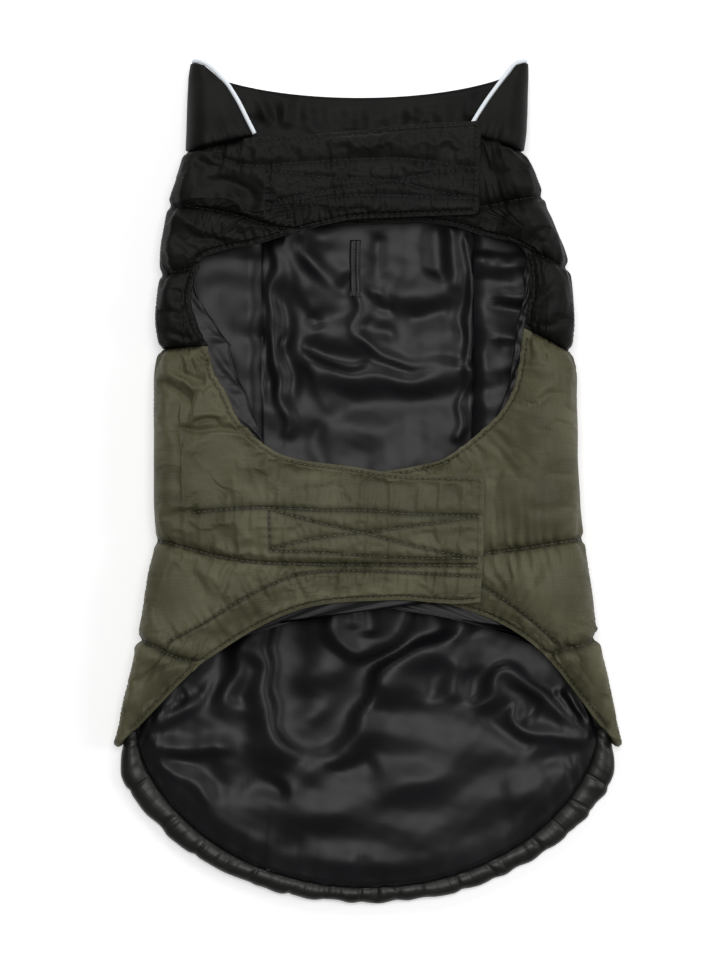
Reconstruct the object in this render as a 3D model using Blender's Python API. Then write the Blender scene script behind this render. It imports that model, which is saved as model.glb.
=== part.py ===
"""Padded dog coat laid on its back: quilted shell panels, satin linings, collar, piping and tail hem.

The coat lies belly side up with its back flat on the ground. +X is the wearer's right-hand flap side
as it lies, +Y points to the collar and +Z up. Each cut piece is a closed wall with its own material.
Lengths in the tables are millimetres; every mesh is built in metres.
"""

import math
from collections import namedtuple

import bmesh
import bpy
from mathutils import Vector

MM = 0.001

# Driving dimensions, in millimetres
PAD = 6.0  # padded wall: shell cloth, fill and backing
PAD_AT_EDGE = 4.0  # the same wall where it is turned in and sewn flat
PAD_AT_TIP = 3.2  # wall at the narrow tips beside the tail
LINING = 1.2
SEAM_GAP = 0.3
LAYER_GAP = 0.3
LINING_GAP = 0.8  # between a curved padded wall and its lining

SIDE_SEAM_X = 60.0  # side seams of the back, from the collar down to the turn
SIDE_SEAM_TURN_Y = 20.0
SIDE_SEAM_END = (128.0, -139.5)  # where each side seam meets the tail hem

STRAP_RISE = 4.8  # the upper strap lies this far above the flank, the lower one as far below
FOLD_REACH = 14.0  # how far the side fold reaches in from the outline
FOLD_REACH_AT_TIP = 9.0

TAIL_HALF_WIDTH = 141.4
TAIL_START_Y = -150.0
SHOULDER_Y = 150.0  # the side seams start to bend towards the collar
COLLAR_SEAM_Y = 183.0  # the collar seam on the outline
FOLD_REACH_GROWS_OVER = 60.0  # from the tail tips, until the side fold has its full reach
THIN_TIP_LENGTH = 70.0  # of the padding at the tail tips
LEFT_STRAP_STEP = (-85.0, 35.0)  # X where the left straps start to rise, and over what width
RIGHT_STRAP_STEP = (96.0, 32.0)  # X where the right straps start to dip, and over what width
STRAP_PUFF_LOSS = 0.75  # share of the padding's puff that the straps don't have
COLLAR_FOLD_REACH = 8.0  # of the collar's side fold at its top
TAIL_DEPTH = 85.6
HEM_INNER_HALF_WIDTH = 128.0
HEM_INNER_START_Y = -142.5
HEM_INNER_DEPTH = 83.5
TAIL_ROUNDNESS = 2.1
TAIL_SHOULDER = 0.62

COLLAR_PAD = 4.5
COLLAR_PAD_AT_TOP = 2.8
COLLAR_FACING = 1.0
COLLAR_SEAM_GAP = 0.5
COLLAR_SCOOP = 0.6  # shape of the hollow in the collar's back edge
NECKLINE_DROP_AT_SEAM = 9.0
NECKLINE_DROP = 14.0

PIPING_DIAMETER = 2.4
PIPING_STANDOFF = 2.2  # from the collar's edge to the middle of the piping
PIPING_SIDES = 8
PIPING_STEP = 1.5  # least distance between two points of its path

WELT_X = -6.4
WELT_Y = (103.0, 134.0)
WELT_WIDTH = 5.0
WELT_HEIGHT = 1.5

BACK_STEPS = 3
FOLD_STEPS = 4
FRONT_STEPS = 8
BACK_COLUMNS = 8
HEM_STEPS = 36
COLLAR_FRONT_STEPS = 3

# Height of the laid coat along its length
HeightStation = namedtuple("HeightStation", "y height")
HEIGHTS = (
    HeightStation(-150.0, 16.0),
    HeightStation(-125.0, 21.0),
    HeightStation(-92.0, 27.0),
    HeightStation(-60.0, 31.0),
    HeightStation(150.0, 31.0),
    HeightStation(183.0, 29.0),
    HeightStation(236.0, 15.0),
)

# A flank row runs from the outline to the free edge of the front. lift is how far the row rises
# towards the collar from its straight line at a quarter, half and three quarters of its length,
# and puff is how far the fill swells there: nothing on a seam, most between two seams.
Row = namedtuple("Row", "outline_x outline_y edge_x edge_y puff lift", defaults=((0.0, 0.0, 0.0),))

LEFT_UPPER = (
    Row(-101.0, 183.0, 62.5, 199.4, 0.0, (2.6, 1.0, 1.6)),  # collar seam and top of the chest strap
    Row(-104.5, 172.5, 62.0, 180.0, 4.0),
    Row(-108.5, 161.0, 61.5, 160.0, 3.5),
    Row(-109.5, 157.5, 61.0, 147.2, 2.5),  # lower corner of the chest strap
    Row(-110.0, 155.8, 18.0, 145.5, 1.5),
    Row(-110.2, 154.2, -10.0, 143.9, 0.8),
    Row(-110.5, 152.6, -37.5, 137.8, 0.0, (2.0, 2.0, 0.0)),  # quilting
    Row(-112.8, 142.0, -60.0, 131.0, 3.5),
    Row(-114.6, 131.0, -77.0, 128.0, 4.0),
    Row(-115.2, 122.0, -91.0, 123.5, 3.0),
    Row(-115.3, 114.5, -93.5, 118.0, 0.0),  # quilting
    Row(-117.0, 101.0, -98.0, 101.0, 4.0),
    Row(-117.6, 87.0, -94.0, 86.0, 3.5),
    Row(-115.0, 73.0, -88.5, 74.5, 0.0),  # colour-block seam
)

LEFT_LOWER = (
    Row(-115.0, 73.0, -88.5, 74.5, 0.0),
    Row(-118.0, 60.0, -85.0, 60.0, 4.0),
    Row(-118.4, 46.0, -78.0, 47.5, 5.0),
    Row(-118.4, 33.0, -71.5, 33.5, 5.0),
    Row(-118.4, 20.0, -55.0, 18.6, 5.0),
    Row(-118.4, 12.0, -38.0, 12.0, 5.0),
    Row(-118.4, 4.0, -10.0, 8.2, 5.0),
    Row(-118.4, -4.0, 18.0, 4.0, 4.5),
    Row(-118.4, -11.0, 64.7, 2.8, 4.0),  # upper corner of the belly strap
    Row(-118.0, -22.0, 64.0, -22.0, 3.5),
    Row(-117.5, -33.0, 63.4, -46.7, 0.0, (-7.0, -6.0, -3.0)),  # quilting
    Row(-121.5, -52.0, 62.8, -53.5, 4.0, (0.0, 0.0, 0.0)),
    Row(-127.5, -88.5, 62.4, -58.5, 0.0, (7.0, 10.0, 5.0)),  # quilting, as far as the flank
    Row(-134.0, -117.0, 62.2, -62.5, 3.0, (16.0, 22.0, 13.0)),
    Row(-140.6, -147.0, 62.0, -66.7, 0.0, (27.0, 35.0, 21.0)),  # lower edge, an arch
)

RIGHT_UPPER = (
    Row(87.0, 183.0, -55.0, 189.0, 0.0, (8.0, 4.0, 1.0)),  # collar seam, then under the chest strap
    Row(92.5, 172.0, -55.0, 178.0, 4.0),
    Row(97.5, 158.0, -55.0, 152.0, 0.0, (-5.0, -6.0, -3.0)),  # quilting
    Row(99.5, 151.0, -55.0, 142.0, 2.0),
    Row(102.0, 146.0, -10.0, 141.7, 3.0),
    Row(104.0, 141.0, 18.0, 143.4, 3.5),
    Row(106.0, 135.5, 45.8, 141.2, 4.0),
    Row(108.5, 129.0, 62.5, 136.1, 4.0),
    Row(111.0, 118.5, 85.0, 128.5, 0.0),  # quilting
    Row(113.5, 103.0, 90.0, 107.0, 4.0),
    Row(114.5, 87.0, 88.0, 94.5, 3.5),
    Row(113.0, 72.0, 86.0, 84.5, 0.0),  # colour-block seam
)

RIGHT_LOWER = (
    Row(113.0, 72.0, 86.0, 84.5, 0.0),
    Row(115.6, 59.0, 84.0, 67.0, 4.0),
    Row(116.0, 46.0, 80.0, 50.0, 5.0),
    Row(116.2, 33.0, 70.0, 34.5, 5.0),
    Row(116.4, 20.0, 46.0, 14.6, 5.0),
    Row(116.6, 12.0, 30.0, 9.0, 5.0),
    Row(117.0, 4.0, 0.0, 4.5, 4.5),
    Row(117.4, -5.0, -55.0, 1.0, 4.0),  # under the belly strap from here on
    Row(118.2, -18.0, -55.0, -20.0, 3.5),
    Row(119.6, -32.0, -55.0, -46.0, 0.0, (-3.0, -4.0, -3.0)),  # quilting
    Row(123.2, -54.0, -55.0, -51.0, 4.0),
    Row(127.8, -86.0, -55.0, -56.0, 0.0, (8.0, 10.0, 5.0)),  # quilting, as far as the flank
    Row(134.5, -116.0, -55.0, -59.5, 3.0, (20.0, 22.0, 12.0)),
    Row(141.0, -147.0, -55.0, -63.0, 0.0, (35.0, 37.0, 21.0)),  # lower edge, an arch
)

# The collar is a band round the neck. A ring runs from the left front edge, round the left side
# fold, across the back, round the right side fold and to the right front edge.
Ring = namedtuple("Ring", "left_edge left_outline right_outline right_edge")
COLLAR_RINGS = (
    Ring((-64.2, 190.8), (-101.0, 183.0), (87.0, 183.0), (57.0, 192.0)),
    Ring((-68.5, 199.5), (-100.6, 192.5), (88.2, 193.5), (62.0, 201.0)),
    Ring((-73.0, 209.0), (-100.3, 203.0), (88.8, 204.0), (68.5, 211.5)),
    Ring((-79.4, 219.5), (-100.0, 214.0), (89.0, 214.0), (75.0, 220.5)),
    Ring((-85.0, 225.5), (-99.6, 224.0), (89.4, 223.5), (79.5, 226.5)),
    Ring((-91.0, 230.6), (-98.6, 231.6), (89.6, 231.6), (82.5, 230.8)),
)
COLLAR_EDGE_Y = 211.0  # middle of the collar's top edge at the back
COLLAR_PEAK_Y = 231.6  # where that edge folds over at the sides

# Cross-section of the tail hem: how far across from its inner seam, and how high
HemPoint = namedtuple("HemPoint", "across height")
HEM_SECTION = (
    HemPoint(0.02, 0.0),
    HemPoint(0.00, 5.0),
    HemPoint(0.20, 8.0),
    HemPoint(0.50, 9.0),
    HemPoint(0.82, 7.6),
    HemPoint(1.00, 3.8),
    HemPoint(0.90, 0.0),
)


def remove_scene_objects():
    for item in list(bpy.data.objects):
        bpy.data.objects.remove(item, do_unlink=True)


def make_finish(name, color, roughness):
    material = bpy.data.materials.new(name)
    material.use_nodes = True
    shader = material.node_tree.nodes["Principled BSDF"]
    shader.inputs["Base Color"].default_value = (*color, 1.0)
    shader.inputs["Roughness"].default_value = roughness
    shader.inputs["Metallic"].default_value = 0.0
    material.diffuse_color = (*color, 1.0)
    return material


def blend(low, high, share):
    return low + (high - low) * share


def ease(share):
    share = min(max(share, 0.0), 1.0)
    return share * share * (3.0 - 2.0 * share)


def coat_height(y):
    """Height of the laid coat over its flanks at this place along its length."""
    for near, far in zip(HEIGHTS, HEIGHTS[1:]):
        if y <= far.y:
            share = max((y - near.y) / (far.y - near.y), 0.0)
            return blend(near.height, far.height, ease(share))
    return HEIGHTS[-1].height


def fold_reach(y):
    return blend(FOLD_REACH_AT_TIP, FOLD_REACH, ease((y - TAIL_START_Y) / FOLD_REACH_GROWS_OVER))


def side_seam_x(y):
    """Half width of the back between its side seams."""
    end_x, end_y = SIDE_SEAM_END
    share = min(max((SIDE_SEAM_TURN_Y - y) / (SIDE_SEAM_TURN_Y - end_y), 0.0), 1.0)
    return blend(SIDE_SEAM_X, end_x, share)


def side_seam_y(y):
    """Rows keep their place along the side seam, except at the scooped neckline and the tip."""
    if y > SHOULDER_Y:
        share = (y - SHOULDER_Y) / (COLLAR_SEAM_Y - SHOULDER_Y)
        return y - NECKLINE_DROP_AT_SEAM * share
    return max(y, SIDE_SEAM_END[1])


def tail_point(half_width, start_y, depth, turn):
    """A point on the rounded tail curve; turn runs from 0 at the left tip to 1 at the right."""
    across = -math.cos(math.pi * turn)
    drop = max(1.0 - abs(across) ** TAIL_ROUNDNESS, 0.0) ** TAIL_SHOULDER
    return half_width * across, start_y - depth * drop


def row_point(row, share):
    """A point of a flank row seen from above, at this share of the way to its free edge."""
    stations = (0.0, *row.lift, 0.0)
    place = share * (len(stations) - 1)
    index = min(int(place), len(stations) - 2)
    t = place - index
    before = stations[max(index - 1, 0)]
    start = stations[index]
    end = stations[index + 1]
    after = stations[min(index + 2, len(stations) - 1)]
    lift = 0.5 * (
        2.0 * start
        + (end - before) * t
        + (2.0 * before - 5.0 * start + 4.0 * end - after) * t**2
        + (3.0 * start - before - 3.0 * end + after) * t**3
    )
    return (
        blend(row.outline_x, row.edge_x, share),
        blend(row.outline_y, row.edge_y, share) + lift,
    )


def front_height(x, y, side, puff):
    """Height of a flank's outer face on the front, where the left strap crosses over the right."""
    if side < 0:
        start, width = LEFT_STRAP_STEP
        towards_strap = ease((x - start) / width)
        swell = puff * (1.0 - STRAP_PUFF_LOSS * towards_strap)
        return coat_height(y) + swell + STRAP_RISE * towards_strap
    start, width = RIGHT_STRAP_STEP
    towards_strap = ease((start - x) / width)
    return coat_height(y) + puff * (1.0 - towards_strap) - STRAP_RISE * towards_strap


def flank_section(row, side):
    """Outer points of one row: out along the back, round the side fold and over the front."""
    outline = Vector((row.outline_x, row.outline_y))
    seam_y = side_seam_y(row.outline_y)
    seam = Vector((side * (side_seam_x(seam_y) + SEAM_GAP / 2), seam_y))
    reach = fold_reach(row.outline_y)
    back_length = (seam - outline).length
    front_length = math.dist(outline, (row.edge_x, row.edge_y))
    reach = min(reach, 0.8 * back_length, 0.8 * front_length)
    height = coat_height(row.outline_y) + row.puff
    points = []
    for step in range(BACK_STEPS):
        place = seam.lerp(outline, step / BACK_STEPS * (1.0 - reach / back_length))
        points.append(Vector((place.x, place.y, 0.0)))
    for step in range(FOLD_STEPS + 1):
        angle = 0.5 * math.pi * step / FOLD_STEPS
        place = outline.lerp(seam, reach * (1.0 - math.sin(angle)) / back_length)
        points.append(Vector((place.x, place.y, 0.5 * height * (1.0 - math.cos(angle)))))
    for step in range(1, FOLD_STEPS + 1):
        angle = 0.5 * math.pi * step / FOLD_STEPS
        x, y = row_point(row, reach * (1.0 - math.cos(angle)) / front_length)
        points.append(Vector((x, y, 0.5 * height * (1.0 + math.sin(angle)))))
    first = reach / front_length
    base_x, base_y = row_point(row, first)
    correction = points[-1].z - front_height(base_x, base_y, side, row.puff)
    for step in range(1, FRONT_STEPS + 1):
        x, y = row_point(row, blend(first, 1.0, step / FRONT_STEPS))
        fade = max(1.0 - step / 2.0, 0.0)
        points.append(Vector((x, y, front_height(x, y, side, row.puff) + correction * fade)))
    return points


def grid_normals(grid, side):
    """Outward directions of a grid whose rows run from the collar to the tail."""
    normals = []
    for i, row in enumerate(grid):
        above = grid[max(i - 1, 0)]
        below = grid[min(i + 1, len(grid) - 1)]
        line = []
        for j in range(len(row)):
            across = row[min(j + 1, len(row) - 1)] - row[max(j - 1, 0)]
            along = below[j] - above[j]
            line.append((across.cross(along) * side).normalized())
        normals.append(line)
    return normals


def moved_in(grid, normals, depths):
    return [
        [point - normal * depth for point, normal, depth in zip(*lines)]
        for lines in zip(grid, normals, depths)
    ]


def wall_object(name, outer, inner, finish):
    """A closed wall between two grids of the same size."""
    mesh = bmesh.new()
    rows = len(outer)
    columns = len(outer[0])
    outside = [[mesh.verts.new(point * MM) for point in line] for line in outer]
    inside = [[mesh.verts.new(point * MM) for point in line] for line in inner]
    for i in range(rows - 1):
        for j in range(columns - 1):
            for sheet in (outside, inside):
                mesh.faces.new((sheet[i][j], sheet[i][j + 1], sheet[i + 1][j + 1], sheet[i + 1][j]))
    rim = [(0, j) for j in range(columns - 1)]
    rim += [(i, columns - 1) for i in range(rows - 1)]
    rim += [(rows - 1, j) for j in range(columns - 1, 0, -1)]
    rim += [(i, 0) for i in range(rows - 1, 0, -1)]
    for (i, j), (k, m) in zip(rim, rim[1:] + rim[:1]):
        mesh.faces.new((outside[i][j], outside[k][m], inside[k][m], inside[i][j]))
    return mesh_object(name, mesh, finish)


def mesh_object(name, mesh, finish):
    """Turn a bmesh into an object with outward faces and one material."""
    bmesh.ops.recalc_face_normals(mesh, faces=mesh.faces)
    data = bpy.data.meshes.new(name)
    mesh.to_mesh(data)
    mesh.free()
    data.materials.append(finish)
    item = bpy.data.objects.new(name, data)
    bpy.context.scene.collection.objects.link(item)
    return item


def tip_share(y):
    """0 over most of the coat, 1 at the narrow tips beside the tail."""
    return 1.0 - ease((y - TAIL_START_Y) / THIN_TIP_LENGTH)


def flank_depths(grid):
    """Wall thickness under each grid point, thinner at the free edge and at the tip."""
    depths = []
    for line in grid:
        last = len(line) - 1
        tip = tip_share(line[0].y)
        pad = blend(PAD, PAD_AT_TIP, tip)
        edge = blend(PAD_AT_EDGE, PAD_AT_TIP, tip)
        front_start = last - FRONT_STEPS
        depths.append([
            blend(pad, edge, ease((j - front_start) / FRONT_STEPS)) for j in range(last + 1)
        ])
    return depths


def inset_rows(rows, start_shift, end_shift):
    """Rows whose first and last line step back from a seam along the coat's length."""
    first = rows[0]
    last = rows[-1]
    return (
        first._replace(outline_y=first.outline_y - start_shift, edge_y=first.edge_y - start_shift),
        *rows[1:-1],
        last._replace(outline_y=last.outline_y + end_shift, edge_y=last.edge_y + end_shift),
    )


def build_flank(name, rows, side, finish):
    grid = [flank_section(row, side) for row in rows]
    normals = grid_normals(grid, side)
    return wall_object(name, grid, moved_in(grid, normals, flank_depths(grid)), finish)


def build_flank_lining(name, rows, side, finish):
    """The satin that backs a whole flank, a little short of its free edges."""
    grid = [flank_section(row, side) for row in rows]
    normals = grid_normals(grid, side)
    under_shell = [[depth + LINING_GAP for depth in line] for line in flank_depths(grid)]
    under_lining = [[depth + LINING for depth in line] for line in under_shell]
    outer = moved_in(grid, normals, under_shell)
    inner = moved_in(grid, normals, under_lining)
    return wall_object(
        name, [line[:-1] for line in outer[:-1]], [line[:-1] for line in inner[:-1]], finish
    )


def back_neckline(x):
    """How far the collar seam drops at the back, between the side seams."""
    middle = 1.0 - (x / SIDE_SEAM_X) ** 2
    return COLLAR_SEAM_Y - blend(NECKLINE_DROP_AT_SEAM, NECKLINE_DROP, middle)


def back_row(y, scoop):
    """One line across the back from side seam to side seam, sagging by scoop towards the tail."""
    half_width = side_seam_x(y) - SEAM_GAP / 2
    points = []
    for column in range(BACK_COLUMNS + 1):
        across, sag = tail_point(half_width, 0.0, scoop, column / BACK_COLUMNS)
        points.append(Vector((across, y + sag, 0.0)))
    return points


def neckline_row():
    points = []
    for column in range(BACK_COLUMNS + 1):
        x = -(SIDE_SEAM_X - SEAM_GAP / 2) * math.cos(math.pi * column / BACK_COLUMNS)
        points.append(Vector((x, back_neckline(x), 0.0)))
    return points


def upper_back_rows():
    last = SEAM_GAP / 2
    return [neckline_row()] + [back_row(y, 0.0) for y in (152.0, 114.0, 73.0 + last)]


def lower_back_rows():
    """Rows of the olive back: straight at first, then rounding into the tail."""
    start = [back_row(y, 0.0) for y in (73.0 - SEAM_GAP / 2, SIDE_SEAM_TURN_Y)]
    scoops = ((-12.0, 4.0), (-40.0, 12.0), (-65.0, 24.0), (-90.0, 40.0), (-115.0, 60.0))
    tail = [back_row(y, scoop) for y, scoop in scoops]
    edge = back_row(SIDE_SEAM_END[1], HEM_INNER_DEPTH)
    return start + tail + [edge]


def build_slab(name, rows, bottom, thickness, finish):
    """A flat panel of the back, its rows raised to its own layer."""
    lower = [[point + Vector((0.0, 0.0, bottom)) for point in line] for line in rows]
    upper = [[point + Vector((0.0, 0.0, thickness)) for point in line] for line in lower]
    return wall_object(name, lower, upper, finish)


def collar_front_height(x, side, height):
    """The right front of the collar dips so that the chest strap can cross over it."""
    if side < 0:
        return height
    start, width = RIGHT_STRAP_STEP
    return height - STRAP_RISE * ease((start - x) / width)


def collar_side(outline, edge, side, height, reach):
    """Half a collar ring, from the side seam of the back round the fold to the front edge."""
    outline = Vector(outline)
    edge = Vector(edge)
    length = (edge - outline).length
    front_reach = min(reach, 0.95 * length)
    points = []
    for step in range(FOLD_STEPS + 1):
        angle = 0.5 * math.pi * step / FOLD_STEPS
        inward = reach * (1.0 - math.sin(angle))
        points.append(
            Vector((outline.x - side * inward, outline.y, 0.5 * height * (1.0 - math.cos(angle))))
        )
    for step in range(1, FOLD_STEPS + 1):
        angle = 0.5 * math.pi * step / FOLD_STEPS
        place = outline.lerp(edge, front_reach * (1.0 - math.cos(angle)) / length)
        top = collar_front_height(place.x, side, height)
        points.append(Vector((place.x, place.y, 0.5 * top * (1.0 + math.sin(angle)))))
    fold_end = front_reach / length
    for step in range(1, COLLAR_FRONT_STEPS + 1):
        place = outline.lerp(edge, blend(fold_end, 1.0, step / COLLAR_FRONT_STEPS))
        top = collar_front_height(place.x, side, height)
        points.append(Vector((place.x, place.y, top)))
    return points


def collar_back_y(x, ring, share):
    """Where a ring crosses the back: the neckline below, the scooped top edge above."""
    left_x, left_y = ring.left_outline
    right_x, right_y = ring.right_outline
    middle = 0.5 * (left_x + right_x)
    half = 0.5 * (right_x - left_x)
    side_y = blend(left_y, right_y, (x - left_x) / (right_x - left_x))
    hollow = max(1.0 - ((x - middle) / half) ** 2, 0.0) ** COLLAR_SCOOP
    scooped = side_y - (COLLAR_PEAK_Y - COLLAR_EDGE_Y) * hollow
    if abs(x) < SIDE_SEAM_X:
        seam = back_neckline(x)
    else:
        outline_x = left_x if x < 0 else right_x
        away = (abs(x) - SIDE_SEAM_X) / (abs(outline_x) - SIDE_SEAM_X)
        seam = blend(COLLAR_SEAM_Y - NECKLINE_DROP_AT_SEAM, COLLAR_SEAM_Y, min(away, 1.0))
    return blend(seam, scooped, share)


def collar_grid():
    """Outer points of the collar band, a row for each ring."""
    grid = []
    for index, ring in enumerate(COLLAR_RINGS):
        share = index / (len(COLLAR_RINGS) - 1)
        height = coat_height(ring.left_outline[1])
        reach = blend(FOLD_REACH, COLLAR_FOLD_REACH, share)
        left = collar_side(ring.left_outline, ring.left_edge, -1, height, reach)
        right = collar_side(ring.right_outline, ring.right_edge, 1, height, reach)
        back = []
        for column in range(BACK_COLUMNS + 1):
            x = -SIDE_SEAM_X * math.cos(math.pi * column / BACK_COLUMNS)
            back.append(Vector((x, 0.0, 0.0)))
        line = left[::-1] + back + right
        for point in line:
            if point.z < 0.5 * height:
                settled = collar_back_y(point.x, ring, share)
                point.y = blend(settled, point.y, point.z / (0.5 * height))
            point.y += COLLAR_SEAM_GAP
        grid.append(line)
    return grid


def build_collar(finish):
    """The padded collar and, inside it, its facing. Returns the middle of the padded wall."""
    grid = collar_grid()
    normals = grid_normals(grid, -1)
    last = len(grid) - 1
    pads = []
    for index, line in enumerate(grid):
        pads.append([blend(COLLAR_PAD, COLLAR_PAD_AT_TOP, index / last)] * len(line))
    middle = [[0.5 * pad for pad in line] for line in pads]
    facing_start = [[pad + LINING_GAP for pad in line] for line in pads]
    facing_end = [[start + COLLAR_FACING for start in line] for line in facing_start]
    wall_object("collar_outer", grid, moved_in(grid, normals, pads), finish)
    facing_outside = moved_in(grid, normals, facing_start)
    facing_inside = moved_in(grid, normals, facing_end)
    wall_object("collar_facing", facing_outside, facing_inside, finish)
    return moved_in(grid, normals, middle)


def tube_object(name, path, radius, sides, finish):
    """A round cord along a path, closed at both ends."""
    mesh = bmesh.new()
    rings = []
    across = (path[1] - path[0]).orthogonal()
    for index, point in enumerate(path):
        ahead = path[min(index + 1, len(path) - 1)]
        behind = path[max(index - 1, 0)]
        forward = (ahead - behind).normalized()
        across = (across - forward * across.dot(forward)).normalized()
        up = forward.cross(across)
        ring = []
        for side in range(sides):
            angle = 2.0 * math.pi * side / sides
            spoke = across * math.cos(angle) + up * math.sin(angle)
            ring.append(mesh.verts.new((point + spoke * radius) * MM))
        rings.append(ring)
    return ring_tube(name, mesh, rings, finish)


def ring_tube(name, mesh, rings, finish):
    """Join rings of points into a tube with flat ends."""
    count = len(rings[0])
    for ring, following in zip(rings, rings[1:]):
        for index in range(count):
            turn = (index + 1) % count
            mesh.faces.new((ring[index], ring[turn], following[turn], following[index]))
    mesh.faces.new(rings[0])
    mesh.faces.new(rings[-1][::-1])
    return mesh_object(name, mesh, finish)


def collar_edge(middle_grid):
    """Points round the collar's free edge, each with the point just inside it."""
    lines = middle_grid[:-1]
    left = [(line[0], line[1]) for line in lines]
    right = [(line[-1], line[-2]) for line in reversed(lines)]
    edge = []
    for point, inside in left + list(zip(middle_grid[-1], lines[-1])) + right:
        if not edge or (point - edge[-1][0]).length > PIPING_STEP:
            edge.append((point, inside))
    return edge


def build_piping(middle_grid, finish):
    """White piping round the collar's free edge: up the left front, along the top, down the right."""
    edge = collar_edge(middle_grid)
    last = len(edge) - 1
    path = []
    for index, (point, inside) in enumerate(edge):
        tangent = edge[min(index + 1, last)][0] - edge[max(index - 1, 0)][0]
        away = point - inside
        away -= tangent * (away.dot(tangent) / tangent.length_squared)
        path.append(point + away.normalized() * PIPING_STANDOFF)
    return tube_object("collar_piping", path, 0.5 * PIPING_DIAMETER, PIPING_SIDES, finish)


def build_hem(finish):
    """The elastic casing round the tail, from tip to tip."""
    mesh = bmesh.new()
    rings = []
    for step in range(HEM_STEPS + 1):
        turn = step / HEM_STEPS
        inner = Vector(tail_point(HEM_INNER_HALF_WIDTH, HEM_INNER_START_Y, HEM_INNER_DEPTH, turn))
        outer = Vector(tail_point(TAIL_HALF_WIDTH, TAIL_START_Y, TAIL_DEPTH, turn))
        inner += (outer - inner).normalized() * SEAM_GAP
        ring = []
        for point in HEM_SECTION:
            place = inner.lerp(outer, point.across)
            ring.append(mesh.verts.new(Vector((place.x, place.y, point.height)) * MM))
        rings.append(ring)
    return ring_tube("tail_hem", mesh, rings, finish)


def build_welt(finish):
    """The stitched welt of the lead slit, on the lining."""
    base = PAD + LAYER_GAP + LINING + LAYER_GAP
    low_y, high_y = WELT_Y
    rows = []
    for y in (high_y, low_y):
        rows.append([Vector((WELT_X + side * 0.5 * WELT_WIDTH, y, 0.0)) for side in (-1, 1)])
    return build_slab("lead_slit_welt", rows, base, WELT_HEIGHT, finish)


def build_coat():
    remove_scene_objects()
    black = make_finish("black_taffeta", (0.018, 0.018, 0.017), 0.62)
    olive = make_finish("olive_taffeta", (0.105, 0.098, 0.058), 0.55)
    satin = make_finish("black_satin", (0.014, 0.013, 0.015), 0.32)
    white = make_finish("reflective_white", (0.78, 0.82, 0.84), 0.45)

    half_gap = SEAM_GAP / 2
    flanks = (("left", -1, LEFT_UPPER, LEFT_LOWER), ("right", 1, RIGHT_UPPER, RIGHT_LOWER))
    for word, side, upper, lower in flanks:
        build_flank(f"{word}_upper_flank", inset_rows(upper, 0.0, half_gap), side, black)
        build_flank(f"{word}_lower_flank", inset_rows(lower, half_gap, 0.0), side, olive)
        build_flank_lining(f"{word}_lining", upper + lower[1:], side, satin)

    upper_rows = upper_back_rows()
    lower_rows = lower_back_rows()
    build_slab("upper_back", upper_rows, 0.0, PAD, black)
    build_slab("lower_back", lower_rows, 0.0, PAD, olive)
    build_slab("back_lining", upper_rows + lower_rows[1:], PAD + LAYER_GAP, LINING, satin)
    build_hem(black)
    build_welt(black)

    middle_grid = build_collar(black)
    build_piping(middle_grid, white)


build_coat()
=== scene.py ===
"""Looks of a padded dog coat laid on its back: quilted taffeta shells, satin linings and trims.

Lengths in the tables are millimetres on the ground plane, +X to the side whose straps lie
underneath and +Y to the collar. Every mesh is built in metres, in the frame's own place.
"""

import logging
import math
from dataclasses import dataclass, field, replace
from enum import Enum

import bpy
import numpy as np
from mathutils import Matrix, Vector
from mathutils.bvhtree import BVHTree


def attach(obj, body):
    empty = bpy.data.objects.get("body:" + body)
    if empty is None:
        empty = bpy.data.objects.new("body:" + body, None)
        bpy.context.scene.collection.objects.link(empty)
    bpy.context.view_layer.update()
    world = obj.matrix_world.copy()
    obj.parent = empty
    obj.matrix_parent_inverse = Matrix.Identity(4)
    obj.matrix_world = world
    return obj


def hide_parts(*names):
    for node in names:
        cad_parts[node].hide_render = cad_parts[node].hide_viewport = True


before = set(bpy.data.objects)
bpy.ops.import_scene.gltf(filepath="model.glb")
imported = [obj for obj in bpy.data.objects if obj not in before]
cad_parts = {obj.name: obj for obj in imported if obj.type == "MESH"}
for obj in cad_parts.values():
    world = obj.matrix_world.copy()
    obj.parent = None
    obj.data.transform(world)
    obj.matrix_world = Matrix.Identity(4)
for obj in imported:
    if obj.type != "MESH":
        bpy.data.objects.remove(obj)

logging.basicConfig(level=logging.INFO, format="%(message)s")
log = logging.getLogger("coat")

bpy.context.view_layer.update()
MM = 0.001
BODY = "root"
CLOTH_UV = "cloth"
SEAM_SHADE = "seam_shade"

Point = tuple[float, float]


# ---------------------------------------------------------------- shared measures of the laid coat

PAD = 5.6  # padded wall away from its edges
EDGE_WALL = 2.2  # the same wall where it is turned in and topstitched
LINING_Z = 6.6  # underside of the back lining
SEAM_GAP = 0.3
SIDE_SEAM_X = 60.0
SIDE_SEAM_TURN_Y = 20.0
SIDE_SEAM_END = (128.0, -139.5)
STRAP_RISE = 4.8
FOLD_REACH = 14.0
FOLD_REACH_AT_TIP = 9.0
TAIL_ROUNDNESS = 2.1
TAIL_SHOULDER = 0.62
HEM_INNER = (128.0, -142.5, 83.5)  # half width, start and depth of the hem's inner seam
HEM_OUTER = (141.4, -150.0, 85.6)  # the same for its outer edge
NECK_SEAM_Y = 183.0  # the collar seam on the outline
NECK_DROP = 9.0  # how much lower the collar seam lies at the side seams
SHOULDER_Y = 150.0  # the rows start to lean towards the collar here
TIP_LENGTH = 60.0  # over which the tail tips grow thin
RIGHT_STRAP_STEP = (96.0, 32.0)  # X where the right straps start to dip, and over what width
HEIGHT_Y = (-150.0, -125.0, -92.0, -60.0, 150.0, 183.0, 236.0)
HEIGHT_Z = (16.0, 21.0, 27.0, 31.0, 31.0, 29.0, 15.0)


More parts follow.
